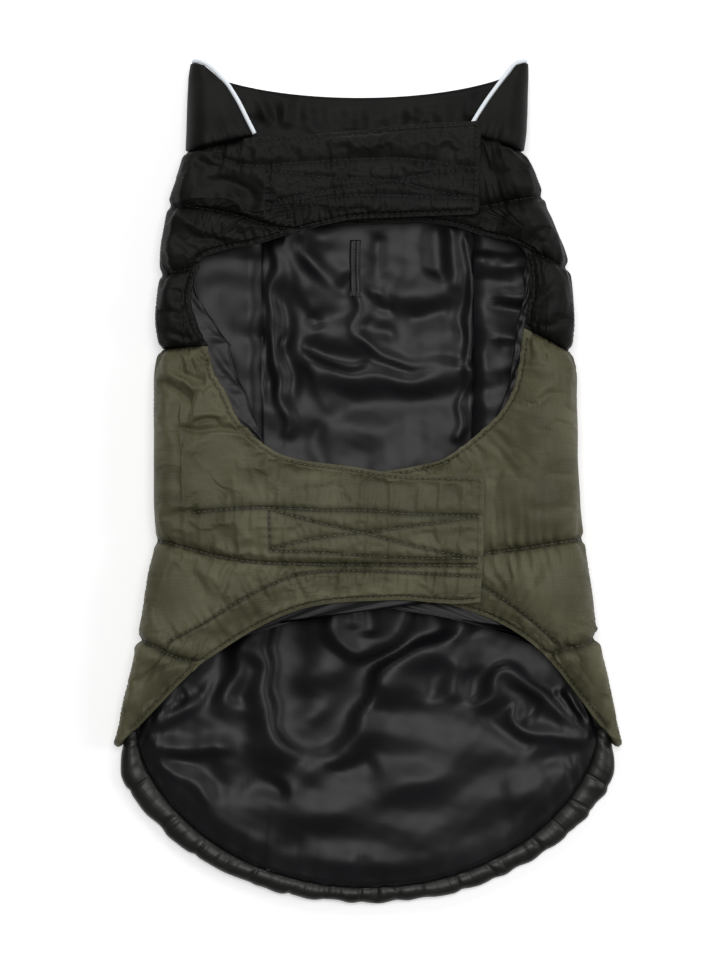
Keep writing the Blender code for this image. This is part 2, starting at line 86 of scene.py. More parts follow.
def ease(share: np.ndarray | float) -> np.ndarray:
    """A share from 0 to 1 with soft ends."""
    share = np.clip(share, 0.0, 1.0)
    return share * share * (3.0 - 2.0 * share)


def coat_height(y: np.ndarray | float) -> np.ndarray:
    """Height of the laid coat over its flanks at this place along its length."""
    y = np.asarray(y, float)
    stops = np.array(HEIGHT_Y)
    index = np.clip(np.searchsorted(stops, y) - 1, 0, len(stops) - 2)
    share = ease((y - stops[index]) / (stops[index + 1] - stops[index]))
    levels = np.array(HEIGHT_Z)
    return levels[index] + (levels[index + 1] - levels[index]) * share


def side_seam_x(y: np.ndarray | float) -> np.ndarray:
    """Half width of the back between its side seams."""
    end_x, end_y = SIDE_SEAM_END
    share = np.clip((SIDE_SEAM_TURN_Y - np.asarray(y)) / (SIDE_SEAM_TURN_Y - end_y), 0.0, 1.0)
    return SIDE_SEAM_X + (end_x - SIDE_SEAM_X) * share


# places along the side seam and how far a row there sags to the tail
BACK_ROWS = (
    (178.0, 0.0), (152.0, 0.0), (73.0, 0.0), (20.0, 0.0), (-12.0, 4.0), (-40.0, 12.0),
    (-65.0, 24.0), (-90.0, 40.0), (-115.0, 60.0), HEM_INNER[1:],
)


def back_row(y: float, sag: float, turn: np.ndarray) -> np.ndarray:
    """Points of one row across the back, on the ground plane."""
    return tail_curve((float(side_seam_x(y)) - SEAM_GAP / 2, y, sag), turn)


def tail_curve(measures: tuple[float, float, float], turn: np.ndarray) -> np.ndarray:
    """Points of a rounded tail curve.

    Args:
        measures: half width, start and depth of the curve.
        turn: 0 at the left tip to 1 at the right.

    Returns:
        One point a row, on the ground plane.
    """
    half_width, start, depth = measures
    across = -np.cos(np.pi * turn)
    drop = np.maximum(1.0 - np.abs(across) ** TAIL_ROUNDNESS, 0.0) ** TAIL_SHOULDER
    return np.stack([half_width * across, start - depth * drop], -1)


def spline(corners: tuple | list | np.ndarray, t: np.ndarray) -> np.ndarray:
    """Places on a smooth curve between the middle two of four points, at shares of the way."""
    before, start, end, after = corners
    return 0.5 * (
        2 * start + (end - before) * t + (2 * before - 5 * start + 4 * end - after) * t**2
        + (3 * start - before - 3 * end + after) * t**3
    )


def smooth_line(points: list[Point] | np.ndarray, step: float = 1.5) -> np.ndarray:
    """A smooth line through points, as points about one step apart."""
    given = np.asarray(points, float)
    if len(given) == 2:
        count = max(int(np.linalg.norm(given[1] - given[0]) / step), 1)
        return given[0] + (given[1] - given[0]) * np.linspace(0.0, 1.0, count + 1)[:, None]
    padded = np.vstack([2 * given[0] - given[1], given, 2 * given[-1] - given[-2]])
    found = []
    for corners in zip(padded, padded[1:], padded[2:], padded[3:]):
        count = max(int(np.linalg.norm(corners[2] - corners[1]) / step), 1)
        found.append(spline(corners, (np.arange(count) / count)[:, None]))
    return np.vstack(found + [given[-1:]])


def smooth_noise(x: np.ndarray, seed: int) -> np.ndarray:
    """Soft random waves along one coordinate, about -1 to 1, with a wavelength near 1."""
    waves = 12
    draw = np.random.default_rng(seed)
    total = np.zeros_like(np.asarray(x, float))
    for _ in range(waves):
        pitch = draw.uniform(0.55, 2.1)
        height = draw.uniform(0.5, 1.0) / pitch**0.3
        total += height * np.sin(2 * np.pi * (x * pitch + draw.random()))
    return total / (0.55 * waves) ** 0.5 / 1.2


def plane_noise(x: np.ndarray, y: np.ndarray, seed: int) -> np.ndarray:
    """Soft random waves over a plane, about -1 to 1, with a wavelength near 1."""
    draw = np.random.default_rng(seed)
    total = np.zeros(np.broadcast(x, y).shape)
    for _ in range(14):
        angle = draw.uniform(0, np.pi)
        pitch = draw.uniform(0.6, 1.7)
        run = (np.cos(angle) * x + np.sin(angle) * y) * pitch + draw.random()
        total += draw.uniform(0.4, 1.0) * np.sin(2 * np.pi * run)
    return total / 3.4


# ---------------------------------------------------------------- soft shapes on a panel


@dataclass(frozen=True)
class Fold:
    """One crease, ridge or trough in the cloth.

    height is positive for a ridge and negative for a trough. width is how far it spreads to
    each side, and lean makes its left side (seen along the path) wider and its right steeper.
    """

    path: tuple[Point, ...]
    height: float
    width: float
    lean: float = 0.0
    start: float = 0.0
    end: float = 0.0

    def lift(self, x: np.ndarray, y: np.ndarray) -> np.ndarray:
        """How far this fold moves the cloth at each place, in millimetres."""
        line = smooth_line(self.path, 2.0)
        near, along, side = nearest_on_line(line, x, y)
        spread = self.width * (1.0 + self.lean * np.sign(side) * (1.0 - np.exp(-near / 2.0)))
        rise = self.start + (1.0 - self.start) * ease(along / 0.25)
        fall = self.end + (1.0 - self.end) * ease((1.0 - along) / 0.25)
        return self.height * rise * fall * np.exp(-((near / spread) ** 2))


def nearest_on_line(
    line: np.ndarray, x: np.ndarray, y: np.ndarray
) -> tuple[np.ndarray, np.ndarray, np.ndarray]:
    """Where each place lies beside a line.

    Returns:
        Its distance, its share of the way along, and its side, positive to the left.
    """
    shape = np.shape(x)
    place = np.stack([np.ravel(x), np.ravel(y)], -1)
    best = np.full(len(place), 1e9)
    share = np.zeros(len(place))
    side = np.zeros(len(place))
    lengths = np.linalg.norm(np.diff(line, axis=0), axis=1)
    total = max(lengths.sum(), 1e-6)
    done = 0.0
    for start, end, length in zip(line, line[1:], lengths):
        run = end - start
        offset = place - start
        t = np.clip(offset @ run / max(length**2, 1e-9), 0.0, 1.0)
        away = offset - t[:, None] * run
        distance = np.einsum("ij,ij->i", away, away)
        closer = distance < best
        best[closer] = distance[closer]
        share[closer] = ((done + t * length) / total)[closer]
        side[closer] = (run[0] * offset[:, 1] - run[1] * offset[:, 0])[closer]
        done += length
    return np.sqrt(best).reshape(shape), share.reshape(shape), side.reshape(shape)


class Thread(Enum):
    """The sewing threads, by the name of their finish."""

    OLIVE = "olive_thread"
    BLACK = "black_thread"
    GREY = "grey_thread"


@dataclass(frozen=True)
class SewnLine:
    """A line of stitching that pulls a channel into a padded panel."""

    path: tuple[Point, ...]
    depth: float = 0.9
    width: float = 2.2
    pucker: float = 0.3
    reach: float = 5.0
    seed: int = 1

    def press(self, x: np.ndarray, y: np.ndarray) -> tuple[np.ndarray, np.ndarray]:
        """The channel and its puckers.

        Returns:
            The lift at each place, negative in the channel, and how near it is, from 0 to 1.
        """
        line = smooth_line(self.path, 2.5)
        near, along, _ = nearest_on_line(line, x, y)
        length = np.linalg.norm(np.diff(line, axis=0), axis=1).sum()
        closeness = np.exp(-((near / self.width) ** 2))
        wave = smooth_noise(along * length / 3.7, self.seed)
        wave = wave + 0.6 * smooth_noise(along * length / 8.4, self.seed + 50)
        ends = ease(along * length / 4.0) * ease((1.0 - along) * length / 4.0)
        pucker = self.pucker * wave * np.exp(-near / self.reach) * ends
        return -self.depth * closeness + 2.5 * pucker * (1.0 - 0.5 * closeness), closeness


# ---------------------------------------------------------------- meshes and node trees


@dataclass
class Grid:
    """A panel's points in rows and columns, with its flat-cloth coordinates and painted shade."""

    points: np.ndarray
    uv: np.ndarray
    shade: np.ndarray

    def normals(self, sign: float, steady: int = 0) -> np.ndarray:
        """Outward directions at each point; sign is 1 or -1 for the way the grid winds."""
        across = np.gradient(self.points, axis=1)
        along = np.gradient(self.points, axis=0)
        found = unit(np.cross(across, along) * sign)
        for _ in range(steady):
            padded = np.pad(found, ((1, 1), (1, 1), (0, 0)), mode="edge")
            beside = padded[:-2, 1:-1] + padded[2:, 1:-1] + padded[1:-1, :-2] + padded[1:-1, 2:]
            found = unit(beside + 2.0 * found)
        return found


def unit(vectors: np.ndarray) -> np.ndarray:
    """The same directions, each of length 1."""
    return vectors / np.maximum(np.linalg.norm(vectors, axis=-1, keepdims=True), 1e-9)


def flat_lengths(points: np.ndarray) -> np.ndarray:
    """Distances along the rows and columns of a grid, as its flat-cloth coordinates in metres."""
    across = np.linalg.norm(np.diff(points, axis=1), axis=-1)
    along = np.linalg.norm(np.diff(points, axis=0), axis=-1).mean(axis=1)
    u = np.concatenate([np.zeros((len(points), 1)), np.cumsum(across, axis=1)], axis=1)
    v = np.concatenate([[0.0], np.cumsum(along)])
    return np.stack([u, np.broadcast_to(v[:, None], u.shape)], -1) * MM


def link(name: str, mesh: bpy.types.Mesh) -> bpy.types.Object:
    """Put a mesh into the scene as an object at the origin."""
    item = bpy.data.objects.new(name, mesh)
    bpy.context.scene.collection.objects.link(item)
    return item


def mesh_from(
    name: str,
    points: np.ndarray,
    faces: np.ndarray | list,
    material: bpy.types.Material,
    uv: np.ndarray | None = None,
    shade: np.ndarray | None = None,
) -> bpy.types.Object:
    """A smooth-shaded mesh object from points in millimetres.

    Args:
        name: the piece's name.
        points: one point a row.
        faces: the corners of each face.
        material: the piece's finish.
        uv: flat-cloth coordinates of each point, in metres.
        shade: how much painted shade darkens each point's colour, from 0 to 1, mostly near sewn
            lines.

    Returns:
        The new object.
    """
    mesh = bpy.data.meshes.new(name)
    corners_of = faces.tolist() if isinstance(faces, np.ndarray) else faces
    mesh.from_pydata((points * MM).tolist(), [], corners_of)
    mesh.shade_smooth()
    mesh.materials.append(material)
    if uv is not None:
        layer = mesh.uv_layers.new(name=CLOTH_UV)
        corners = np.zeros(len(mesh.loops), np.int32)
        mesh.loops.foreach_get("vertex_index", corners)
        layer.data.foreach_set("uv", uv[corners].ravel().astype(np.float32))
    if shade is not None:
        attribute = mesh.attributes.new(SEAM_SHADE, "FLOAT", "POINT")
        attribute.data.foreach_set("value", shade.astype(np.float32))
    mesh.validate()
    return link(name, mesh)


def wall(
    name: str,
    outer: Grid,
    inner: np.ndarray,
    sign: float,
    material: bpy.types.Material,
    bulge: float = 0.5,
) -> bpy.types.Object:
    """A closed wall between a grid and the same grid moved in, with a rounded rim.

    Args:
        name: the piece's name.
        outer: the outer face.
        inner: the inner face's points.
        sign: 1 or -1 for the way the grid winds.
        material: the piece's finish.
        bulge: how far the rim rounds out, as a share of half the wall.

    Returns:
        The new object.
    """
    rows, columns = outer.points.shape[:2]
    index = np.arange(rows * columns).reshape(rows, columns)
    quads = np.stack([index[:-1, :-1], index[:-1, 1:], index[1:, 1:], index[1:, :-1]], -1)
    quads = quads.reshape(-1, 4)
    ring = np.concatenate([
        index[0, :-1], index[:-1, -1], index[-1, :0:-1], index[:0:-1, 0]
    ])
    inward = np.concatenate([
        index[1, :-1], index[:-1, -2], index[-2, :0:-1], index[:0:-1, 1]
    ])
    flat_outer = outer.points.reshape(-1, 3)
    flat_inner = inner.reshape(-1, 3)
    middle = 0.5 * (flat_outer[ring] + flat_inner[ring])
    away = unit(flat_outer[ring] - flat_outer[inward])
    half = 0.5 * np.linalg.norm(flat_outer[ring] - flat_inner[ring], axis=1, keepdims=True)
    middle += away * half * bulge
    count = rows * columns
    middle_index = 2 * count + np.arange(len(ring))
    turned = np.roll(np.arange(len(ring)), -1)
    rim = np.concatenate([
        np.stack([ring, middle_index, middle_index[turned], ring[turned]], -1),
        np.stack([middle_index, ring + count, ring[turned] + count, middle_index[turned]], -1),
    ])
    outside = quads if sign > 0 else quads[:, ::-1]
    inside = (quads[:, ::-1] if sign > 0 else quads) + count
    rim = rim if sign > 0 else rim[:, ::-1]
    points = np.concatenate([flat_outer, flat_inner, middle])
    flat_uv = outer.uv.reshape(-1, 2)
    uv = np.concatenate([flat_uv, flat_uv, flat_uv[ring]])
    flat_shade = outer.shade.ravel()
    shade = np.concatenate([flat_shade, np.zeros(count), flat_shade[ring]])
    faces = np.concatenate([outside, inside, rim])
    return mesh_from(name, points, faces[:, ::-1], material, uv, shade)


def add_node(tree: bpy.types.NodeTree, kind: str, settings: dict | None = None, **sockets):
    """Add a node, set its properties and fill or link its sockets.

    Args:
        tree: the tree that gets the node.
        kind: the node's type name.
        settings: properties of the node, by name.
        sockets: values or output sockets, by the input's name with underscores, or in0, in1 …

    Returns:
        The new node.
    """
    node = tree.nodes.new(kind)
    for key, value in (settings or {}).items():
        setattr(node, key, value)
    for key, value in sockets.items():
        if key.startswith("in") and key[2:].isdigit():
            target = node.inputs[int(key[2:])]
        else:
            target = node.inputs[key.replace("_", " ")]
        if isinstance(value, bpy.types.NodeSocket):
            tree.links.new(value, target)
        else:
            target.default_value = value
    return node


def linear(hex_color: str) -> tuple[float, float, float, float]:
    """An sRGB hex colour as linear values with full alpha."""
    values = [int(hex_color.lstrip("#")[i : i + 2], 16) / 255 for i in (0, 2, 4)]
    parts = [v / 12.92 if v <= 0.04045 else ((v + 0.055) / 1.055) ** 2.4 for v in values]
    return (*parts, 1.0)


def new_finish(name: str) -> tuple[bpy.types.Material, bpy.types.NodeTree, bpy.types.Node]:
    """A new node material, its tree and its surface shader."""
    material = bpy.data.materials.new(name)
    material.use_nodes = True
    return material, material.node_tree, material.node_tree.nodes["Principled BSDF"]


@dataclass(frozen=True)
class WovenFinish:
    """A woven cloth: its colours, thread spacing and gloss."""

    name: str
    color: str
    light: str
    pitch_mm: float
    weave: float
    roughness: float
    specular: float
    sheen: float
    sheen_color: str
    streaks: float = 0.5
    anisotropic: float = 0.0
    mottling_mm: float = 26.0

    def build(self) -> bpy.types.Material:
        """The finish as a node material that reads the piece's flat-cloth coordinates and darkens
        its colour by the piece's painted shade.
        """
        material, tree, shader = new_finish(self.name)
        cloth = add_node(tree, "ShaderNodeUVMap", {"uv_map": CLOTH_UV}).outputs["UV"]
        threads = 1.0 / (self.pitch_mm * MM)
        warp, weft = (
            add_node(
                tree, "ShaderNodeTexWave", {"bands_direction": axis, "wave_profile": "SIN"},
                Vector=cloth, Scale=threads / 3.1416, Distortion=0.6, Detail=1.0,
            )
            for axis in "XY"
        )
        woven = add_node(
            tree, "ShaderNodeMath", {"operation": "MULTIPLY"},
            in0=warp.outputs["Fac"], in1=weft.outputs["Fac"],
        )
        slub, slub_across = (
            add_node(
                tree, "ShaderNodeTexNoise", Scale=1.0, Detail=3.0,
                Vector=add_node(
                    tree, "ShaderNodeMapping", Vector=cloth, Scale=per_metre
                ).outputs["Vector"],
            ).outputs["Fac"]
            for per_metre in ((1500.0, 70.0, 1.0), (70.0, 1500.0, 1.0))
        )
        threads_seen = add_node(
            tree, "ShaderNodeMath", {"operation": "ADD"}, in0=slub, in1=slub_across
        )
        mottle = add_node(
            tree, "ShaderNodeTexNoise", Vector=cloth, Scale=1.0 / (self.mottling_mm * MM),
            Detail=2.0,
        )
        tone = add_node(
            tree, "ShaderNodeMath", {"operation": "MULTIPLY_ADD"},
            in0=threads_seen.outputs["Value"], in1=0.5 * self.streaks,
            in2=mottle.outputs["Fac"],
        )
        spread = add_node(
            tree, "ShaderNodeMapRange", {"clamp": True},
            Value=tone.outputs["Value"], From_Min=0.36 + 0.32 * self.streaks,
            From_Max=0.6 + 0.68 * self.streaks,
        )
        dyed = add_node(
            tree, "ShaderNodeMix", {"data_type": "RGBA"}, Factor=spread.outputs["Result"],
            in6=linear(self.color), in7=linear(self.light),
        )
        # Painted shade: the piece's seam_shade attribute darkens the colour towards 0.12 of itself
        # along seams, channels, puckers and other places that lie in shade.
        near_seam = add_node(tree, "ShaderNodeAttribute", {"attribute_name": SEAM_SHADE})
        crush_and_painted_shade = add_node(
            tree, "ShaderNodeMath", {"operation": "MULTIPLY", "use_clamp": True},
            in0=near_seam.outputs["Fac"], in1=0.85,
        )
        pressing_and_painted_shade = add_node(
            tree, "ShaderNodeMix", {"data_type": "RGBA", "blend_type": "MULTIPLY"},
            Factor=crush_and_painted_shade.outputs["Value"], in6=dyed.outputs[2], in7=(0.12, 0.12, 0.12, 1.0),
        )
        gloss = add_node(
            tree, "ShaderNodeMapRange", Value=mottle.outputs["Fac"],
            To_Min=self.roughness - 0.04, To_Max=self.roughness + 0.05,
        )
        relief = add_node(
            tree, "ShaderNodeMath", {"operation": "ADD"},
            in0=woven.outputs["Value"], in1=threads_seen.outputs["Value"],
        )
        bump = add_node(
            tree, "ShaderNodeBump", Strength=self.weave, Distance=0.0001,
            Height=relief.outputs["Value"],
        )
        tree.links.new(pressing_and_painted_shade.outputs[2], shader.inputs["Base Color"])
        tree.links.new(gloss.outputs["Result"], shader.inputs["Roughness"])
        tree.links.new(bump.outputs["Normal"], shader.inputs["Normal"])
        for socket, value in (
            ("Specular IOR Level", self.specular), ("Sheen Weight", self.sheen),
            ("Sheen Roughness", 0.4), ("Sheen Tint", linear(self.sheen_color)),
            ("Anisotropic", self.anisotropic),
        ):
            shader.inputs[socket].default_value = value
        return material


@dataclass(frozen=True)
class ThreadFinish:
    """Spun polyester sewing thread: small, matt, with a twist too fine to draw."""

    name: str
    color: str
    roughness: float = 0.55

    def build(self) -> bpy.types.Material:
        """The finish as a node material on object coordinates."""
        material, tree, shader = new_finish(self.name)
        place = add_node(tree, "ShaderNodeTexCoord").outputs["Object"]
        fuzz = add_node(tree, "ShaderNodeTexNoise", Vector=place, Scale=2600.0, Detail=1.0)
        dark = tuple(0.7 * part for part in linear(self.color)[:3]) + (1.0,)
        tint = add_node(
            tree, "ShaderNodeMix", {"data_type": "RGBA"}, Factor=fuzz.outputs["Fac"],
            in6=dark, in7=linear(self.color),
        )
        tree.links.new(tint.outputs[2], shader.inputs["Base Color"])
        shader.inputs["Roughness"].default_value = self.roughness
        return material


@dataclass(frozen=True)
class ReflectiveFinish:
    """Glass-bead reflective tape: pale, matt, faintly cool, with a beaded grain and a faint painted
    glow.
    """

    name: str
    color: str
    grain_mm: float = 0.5

    def build(self) -> bpy.types.Material:
        """The finish as a node material on object coordinates."""
        material, tree, shader = new_finish(self.name)
        place = add_node(tree, "ShaderNodeTexCoord").outputs["Object"]
        beads = add_node(
            tree, "ShaderNodeTexVoronoi", Vector=place, Scale=1.0 / (self.grain_mm * MM)
        )
        tint = add_node(
            tree, "ShaderNodeMix", {"data_type": "RGBA"}, Factor=beads.outputs["Distance"],
            in6=linear(self.color), in7=linear("#C9D2DA"),
        )
        bump = add_node(
            tree, "ShaderNodeBump", Strength=0.15, Distance=0.0001,
            Height=beads.outputs["Distance"],
        )
        tree.links.new(tint.outputs[2], shader.inputs["Base Color"])
        tree.links.new(bump.outputs["Normal"], shader.inputs["Normal"])
        shader.inputs["Roughness"].default_value = 0.42
        # Painted glow: a faint pale emission, though the tape is no lamp.
        shader.inputs["Emission Color"].default_value = linear("#E8EEF2")
        shader.inputs["Emission Strength"].default_value = 0.12
        return material


FINISHES = (
    # Olive polyester taffeta, plain woven: soft sheen, faint thread lines both ways
    WovenFinish(
        "olive_woven_taffeta", "#444330", "#605D48", 1.2, 0.34, 0.50, 0.17, 0.06, "#8E8A6B",
        mottling_mm=34.0,
    ),
    # Black polyester taffeta, plain woven: near-matt charcoal with a warm cast
    WovenFinish(
        "black_woven_taffeta", "#0F0F0E", "#1B1B19", 1.2, 0.34, 0.50, 0.10, 0.02, "#6A6A66"
    ),
    # The same taffeta doubled over the elastic, pressed smooth: a little more gloss
    WovenFinish(
        "black_casing_taffeta", "#131311", "#20201D", 1.2, 0.30, 0.40, 0.36, 0.02, "#6A6A66"
    ),
    # Black satin lining: long floats lie flat, so light runs along its folds as soft streaks
    WovenFinish(
        "black_satin_lining", "#0E0D0F", "#151417", 1.1, 0.10, 0.42, 0.27, 0.0, "#6C6A78",
        streaks=0.35, anisotropic=0.35, mottling_mm=40.0,
    ),
    # Sewing threads: matt spun polyester that reads as a dotted line beside its own cloth
    ThreadFinish("olive_thread", "#757152"),
    ThreadFinish("black_thread", "#242423"),
    ThreadFinish("grey_thread", "#5C5D60"),
    # Reflective tape: the one pale line on the coat, faintly blue, with a faint painted glow
    ReflectiveFinish("white_reflective_tape", "#F1F5F8"),
)


@dataclass(frozen=True)
class ClothRun:
    """A short cloth simulation: the shell is a little too big for its pins, so it gathers.

    The cloth is simulated ten times its size, where the solver's lengths suit it.
    """

    frames: int = 16
    pressure: float = 2.2
    excess: float = 0.05
    scale: float = 10.0
    quality: int = 6
    most_mm: float = 2.6

    def settle(self, points: np.ndarray, pins: np.ndarray) -> np.ndarray:
        """Let a grid of cloth settle between its pins.

        Args:
            points: the grid's points in millimetres.
            pins: how firmly each point is held, from 0 to 1.

        Returns:
            The settled points in millimetres.
        """
        rows, columns = points.shape[:2]
        index = np.arange(rows * columns).reshape(rows, columns)
        quads = np.stack([index[:-1, :-1], index[:-1, 1:], index[1:, 1:], index[1:, :-1]], -1)
        mesh = bpy.data.meshes.new("settling")
        start = points.reshape(-1, 3)
        mesh.from_pydata((start * MM * self.scale).tolist(), [], quads.reshape(-1, 4).tolist())
        item = link("settling", mesh)
        group = item.vertex_groups.new(name="pins")
        held = np.round(np.clip(pins.ravel(), 0.0, 1.0), 2)
        for weight in np.unique(held):
            group.add(np.nonzero(held == weight)[0].tolist(), float(weight), "REPLACE")
        cloth = item.modifiers.new("cloth", "CLOTH")
        settings = cloth.settings
        for name, value in {
            "quality": self.quality, "mass": 0.15, "tension_stiffness": 12.0,
            "compression_stiffness": 12.0, "shear_stiffness": 4.0, "bending_stiffness": 0.25,
            "air_damping": 2.0, "vertex_group_mass": group.name, "pin_stiffness": 1.0,
            "shrink_min": -self.excess, "use_pressure": True,
            "uniform_pressure_force": self.pressure,
        }.items():
            setattr(settings, name, value)
        settings.effector_weights.gravity = 0.0
        cloth.collision_settings.use_collision = False
        cloth.point_cache.frame_start = 1
        cloth.point_cache.frame_end = self.frames
        scene = bpy.context.scene
        for frame_number in range(1, self.frames + 1):
            scene.frame_set(frame_number)
        evaluated = item.evaluated_get(bpy.context.evaluated_depsgraph_get())
        found = np.zeros(len(start) * 3)
        evaluated.data.vertices.foreach_get("co", found)
        found = found.reshape(-1, 3) / (MM * self.scale)
        moved = found - start
        size = np.linalg.norm(moved, axis=1, keepdims=True)
        held_back = self.most_mm * np.tanh(size / self.most_mm) / np.maximum(size, 1e-6)
        moved *= np.minimum(1.0, held_back)
        bpy.data.objects.remove(item)
        scene.frame_set(1)
        return (start + moved).reshape(points.shape)


# ---------------------------------------------------------------- flanks


@dataclass(frozen=True)
class Row:
    """One line across a flank, from the outline of the laid coat to its free front edge."""

    outline: Point
    edge: Point
    quilted: bool = False
    lift: tuple[float, float, float] = (0.0, 0.0, 0.0)

    def numbers(self) -> list[float]:
        """The row's measures as one list, to be blended with its neighbours'."""
        return [*self.outline, *self.edge, *self.lift]


LEFT_UPPER_ROWS = (
    Row((-101.0, 183.0), (62.5, 199.4), True, (2.6, 1.0, 1.6)),
    Row((-104.5, 172.5), (62.0, 180.0)),
    Row((-108.5, 161.0), (61.5, 160.0)),
    Row((-109.0, 159.3), (61.4, 153.0)),
    Row((-109.3, 158.2), (61.0, 149.0)),
    Row((-109.5, 157.6), (59.0, 147.2)),
    Row((-109.7, 157.0), (50.0, 146.7)),
    Row((-110.0, 155.8), (18.0, 145.5)),
    Row((-110.2, 154.2), (-10.0, 143.9)),
    Row((-110.5, 152.6), (-37.5, 137.8), True, (2.0, 2.0, 0.0)),
    Row((-112.8, 142.0), (-60.0, 131.0)),
    Row((-114.6, 131.0), (-77.0, 128.0)),
    Row((-115.2, 122.0), (-91.0, 123.5)),
    Row((-115.3, 114.5), (-93.5, 118.0), True),
    Row((-117.0, 101.0), (-98.0, 101.0)),
    Row((-117.6, 87.0), (-94.0, 86.0)),
    Row((-115.0, 73.0), (-88.5, 74.5), True),
)
LEFT_LOWER_ROWS = (
    Row((-115.0, 73.0), (-88.5, 74.5), True),
    Row((-118.0, 60.0), (-85.0, 60.0)),
    Row((-118.4, 46.0), (-78.0, 47.5)),
    Row((-118.4, 33.0), (-71.5, 33.5)),
    Row((-118.4, 20.0), (-55.0, 18.6)),
    Row((-118.4, 12.0), (-38.0, 12.0)),
    Row((-118.4, 4.0), (-10.0, 8.2)),
    Row((-118.4, -4.0), (18.0, 4.0)),
    Row((-118.4, -8.6), (50.0, 3.3)),
    Row((-118.4, -10.2), (60.5, 2.9)),
    Row((-118.4, -11.0), (64.3, 1.2)),
    Row((-118.4, -12.0), (64.6, -3.0)),
    Row((-118.3, -14.5), (64.4, -10.0)),
    Row((-118.0, -22.0), (64.0, -22.0)),
    Row((-117.5, -33.0), (63.4, -46.7), True, (-7.0, -6.0, -3.0)),
    Row((-121.5, -52.0), (62.8, -53.5)),
    Row((-127.5, -88.5), (62.4, -58.5), False, (7.0, 10.0, 5.0)),
    Row((-134.0, -117.0), (62.2, -62.5), False, (16.0, 22.0, 13.0)),
    Row((-140.6, -147.0), (62.0, -66.7), False, (27.0, 35.0, 21.0)),
)
RIGHT_UPPER_ROWS = (
    Row((87.0, 183.0), (-55.0, 189.0), True, (8.0, 4.0, 1.0)),
    Row((92.5, 172.0), (-55.0, 178.0)),
    Row((97.5, 158.0), (-55.0, 152.0), True, (-5.0, -6.0, -3.0)),
    Row((99.5, 151.0), (-55.0, 142.0)),
    Row((102.0, 146.0), (-10.0, 141.7)),
    Row((104.0, 141.0), (18.0, 143.4)),
    Row((106.0, 135.5), (45.8, 141.2)),
    Row((108.5, 129.0), (62.5, 136.1)),
    Row((111.0, 118.5), (85.0, 128.5), True),
    Row((113.5, 103.0), (90.0, 107.0)),
    Row((114.5, 87.0), (88.0, 94.5)),
    Row((113.0, 72.0), (86.0, 84.5), True),
)
RIGHT_LOWER_ROWS = (
    Row((113.0, 72.0), (86.0, 84.5), True),
    Row((115.6, 59.0), (84.0, 67.0)),
    Row((116.0, 46.0), (80.0, 50.0)),
    Row((116.2, 33.0), (70.0, 34.5)),
    Row((116.4, 20.0), (46.0, 14.6)),
    Row((116.6, 12.0), (30.0, 9.0)),
    Row((117.0, 4.0), (0.0, 4.5)),
    Row((117.4, -5.0), (-55.0, 1.0)),
    Row((118.2, -18.0), (-55.0, -20.0)),
    Row((119.6, -32.0), (-55.0, -46.0), True, (-3.0, -4.0, -3.0)),
    Row((123.2, -54.0), (-55.0, -51.0)),
    Row((127.8, -86.0), (-55.0, -56.0), False, (8.0, 10.0, 5.0)),
    Row((134.5, -116.0), (-55.0, -59.5), False, (20.0, 22.0, 12.0)),
    Row((141.0, -147.0), (-55.0, -63.0), False, (35.0, 37.0, 21.0)),
)


@dataclass
class FlankGrid:
    """A flank's smooth base form and where each point lies on it."""

    points: np.ndarray
    front: np.ndarray
    under: np.ndarray
    edge_distance: np.ndarray
    quilt_distance: np.ndarray
    quilt_run: np.ndarray
    free_line: np.ndarray
    along_edge: np.ndarray


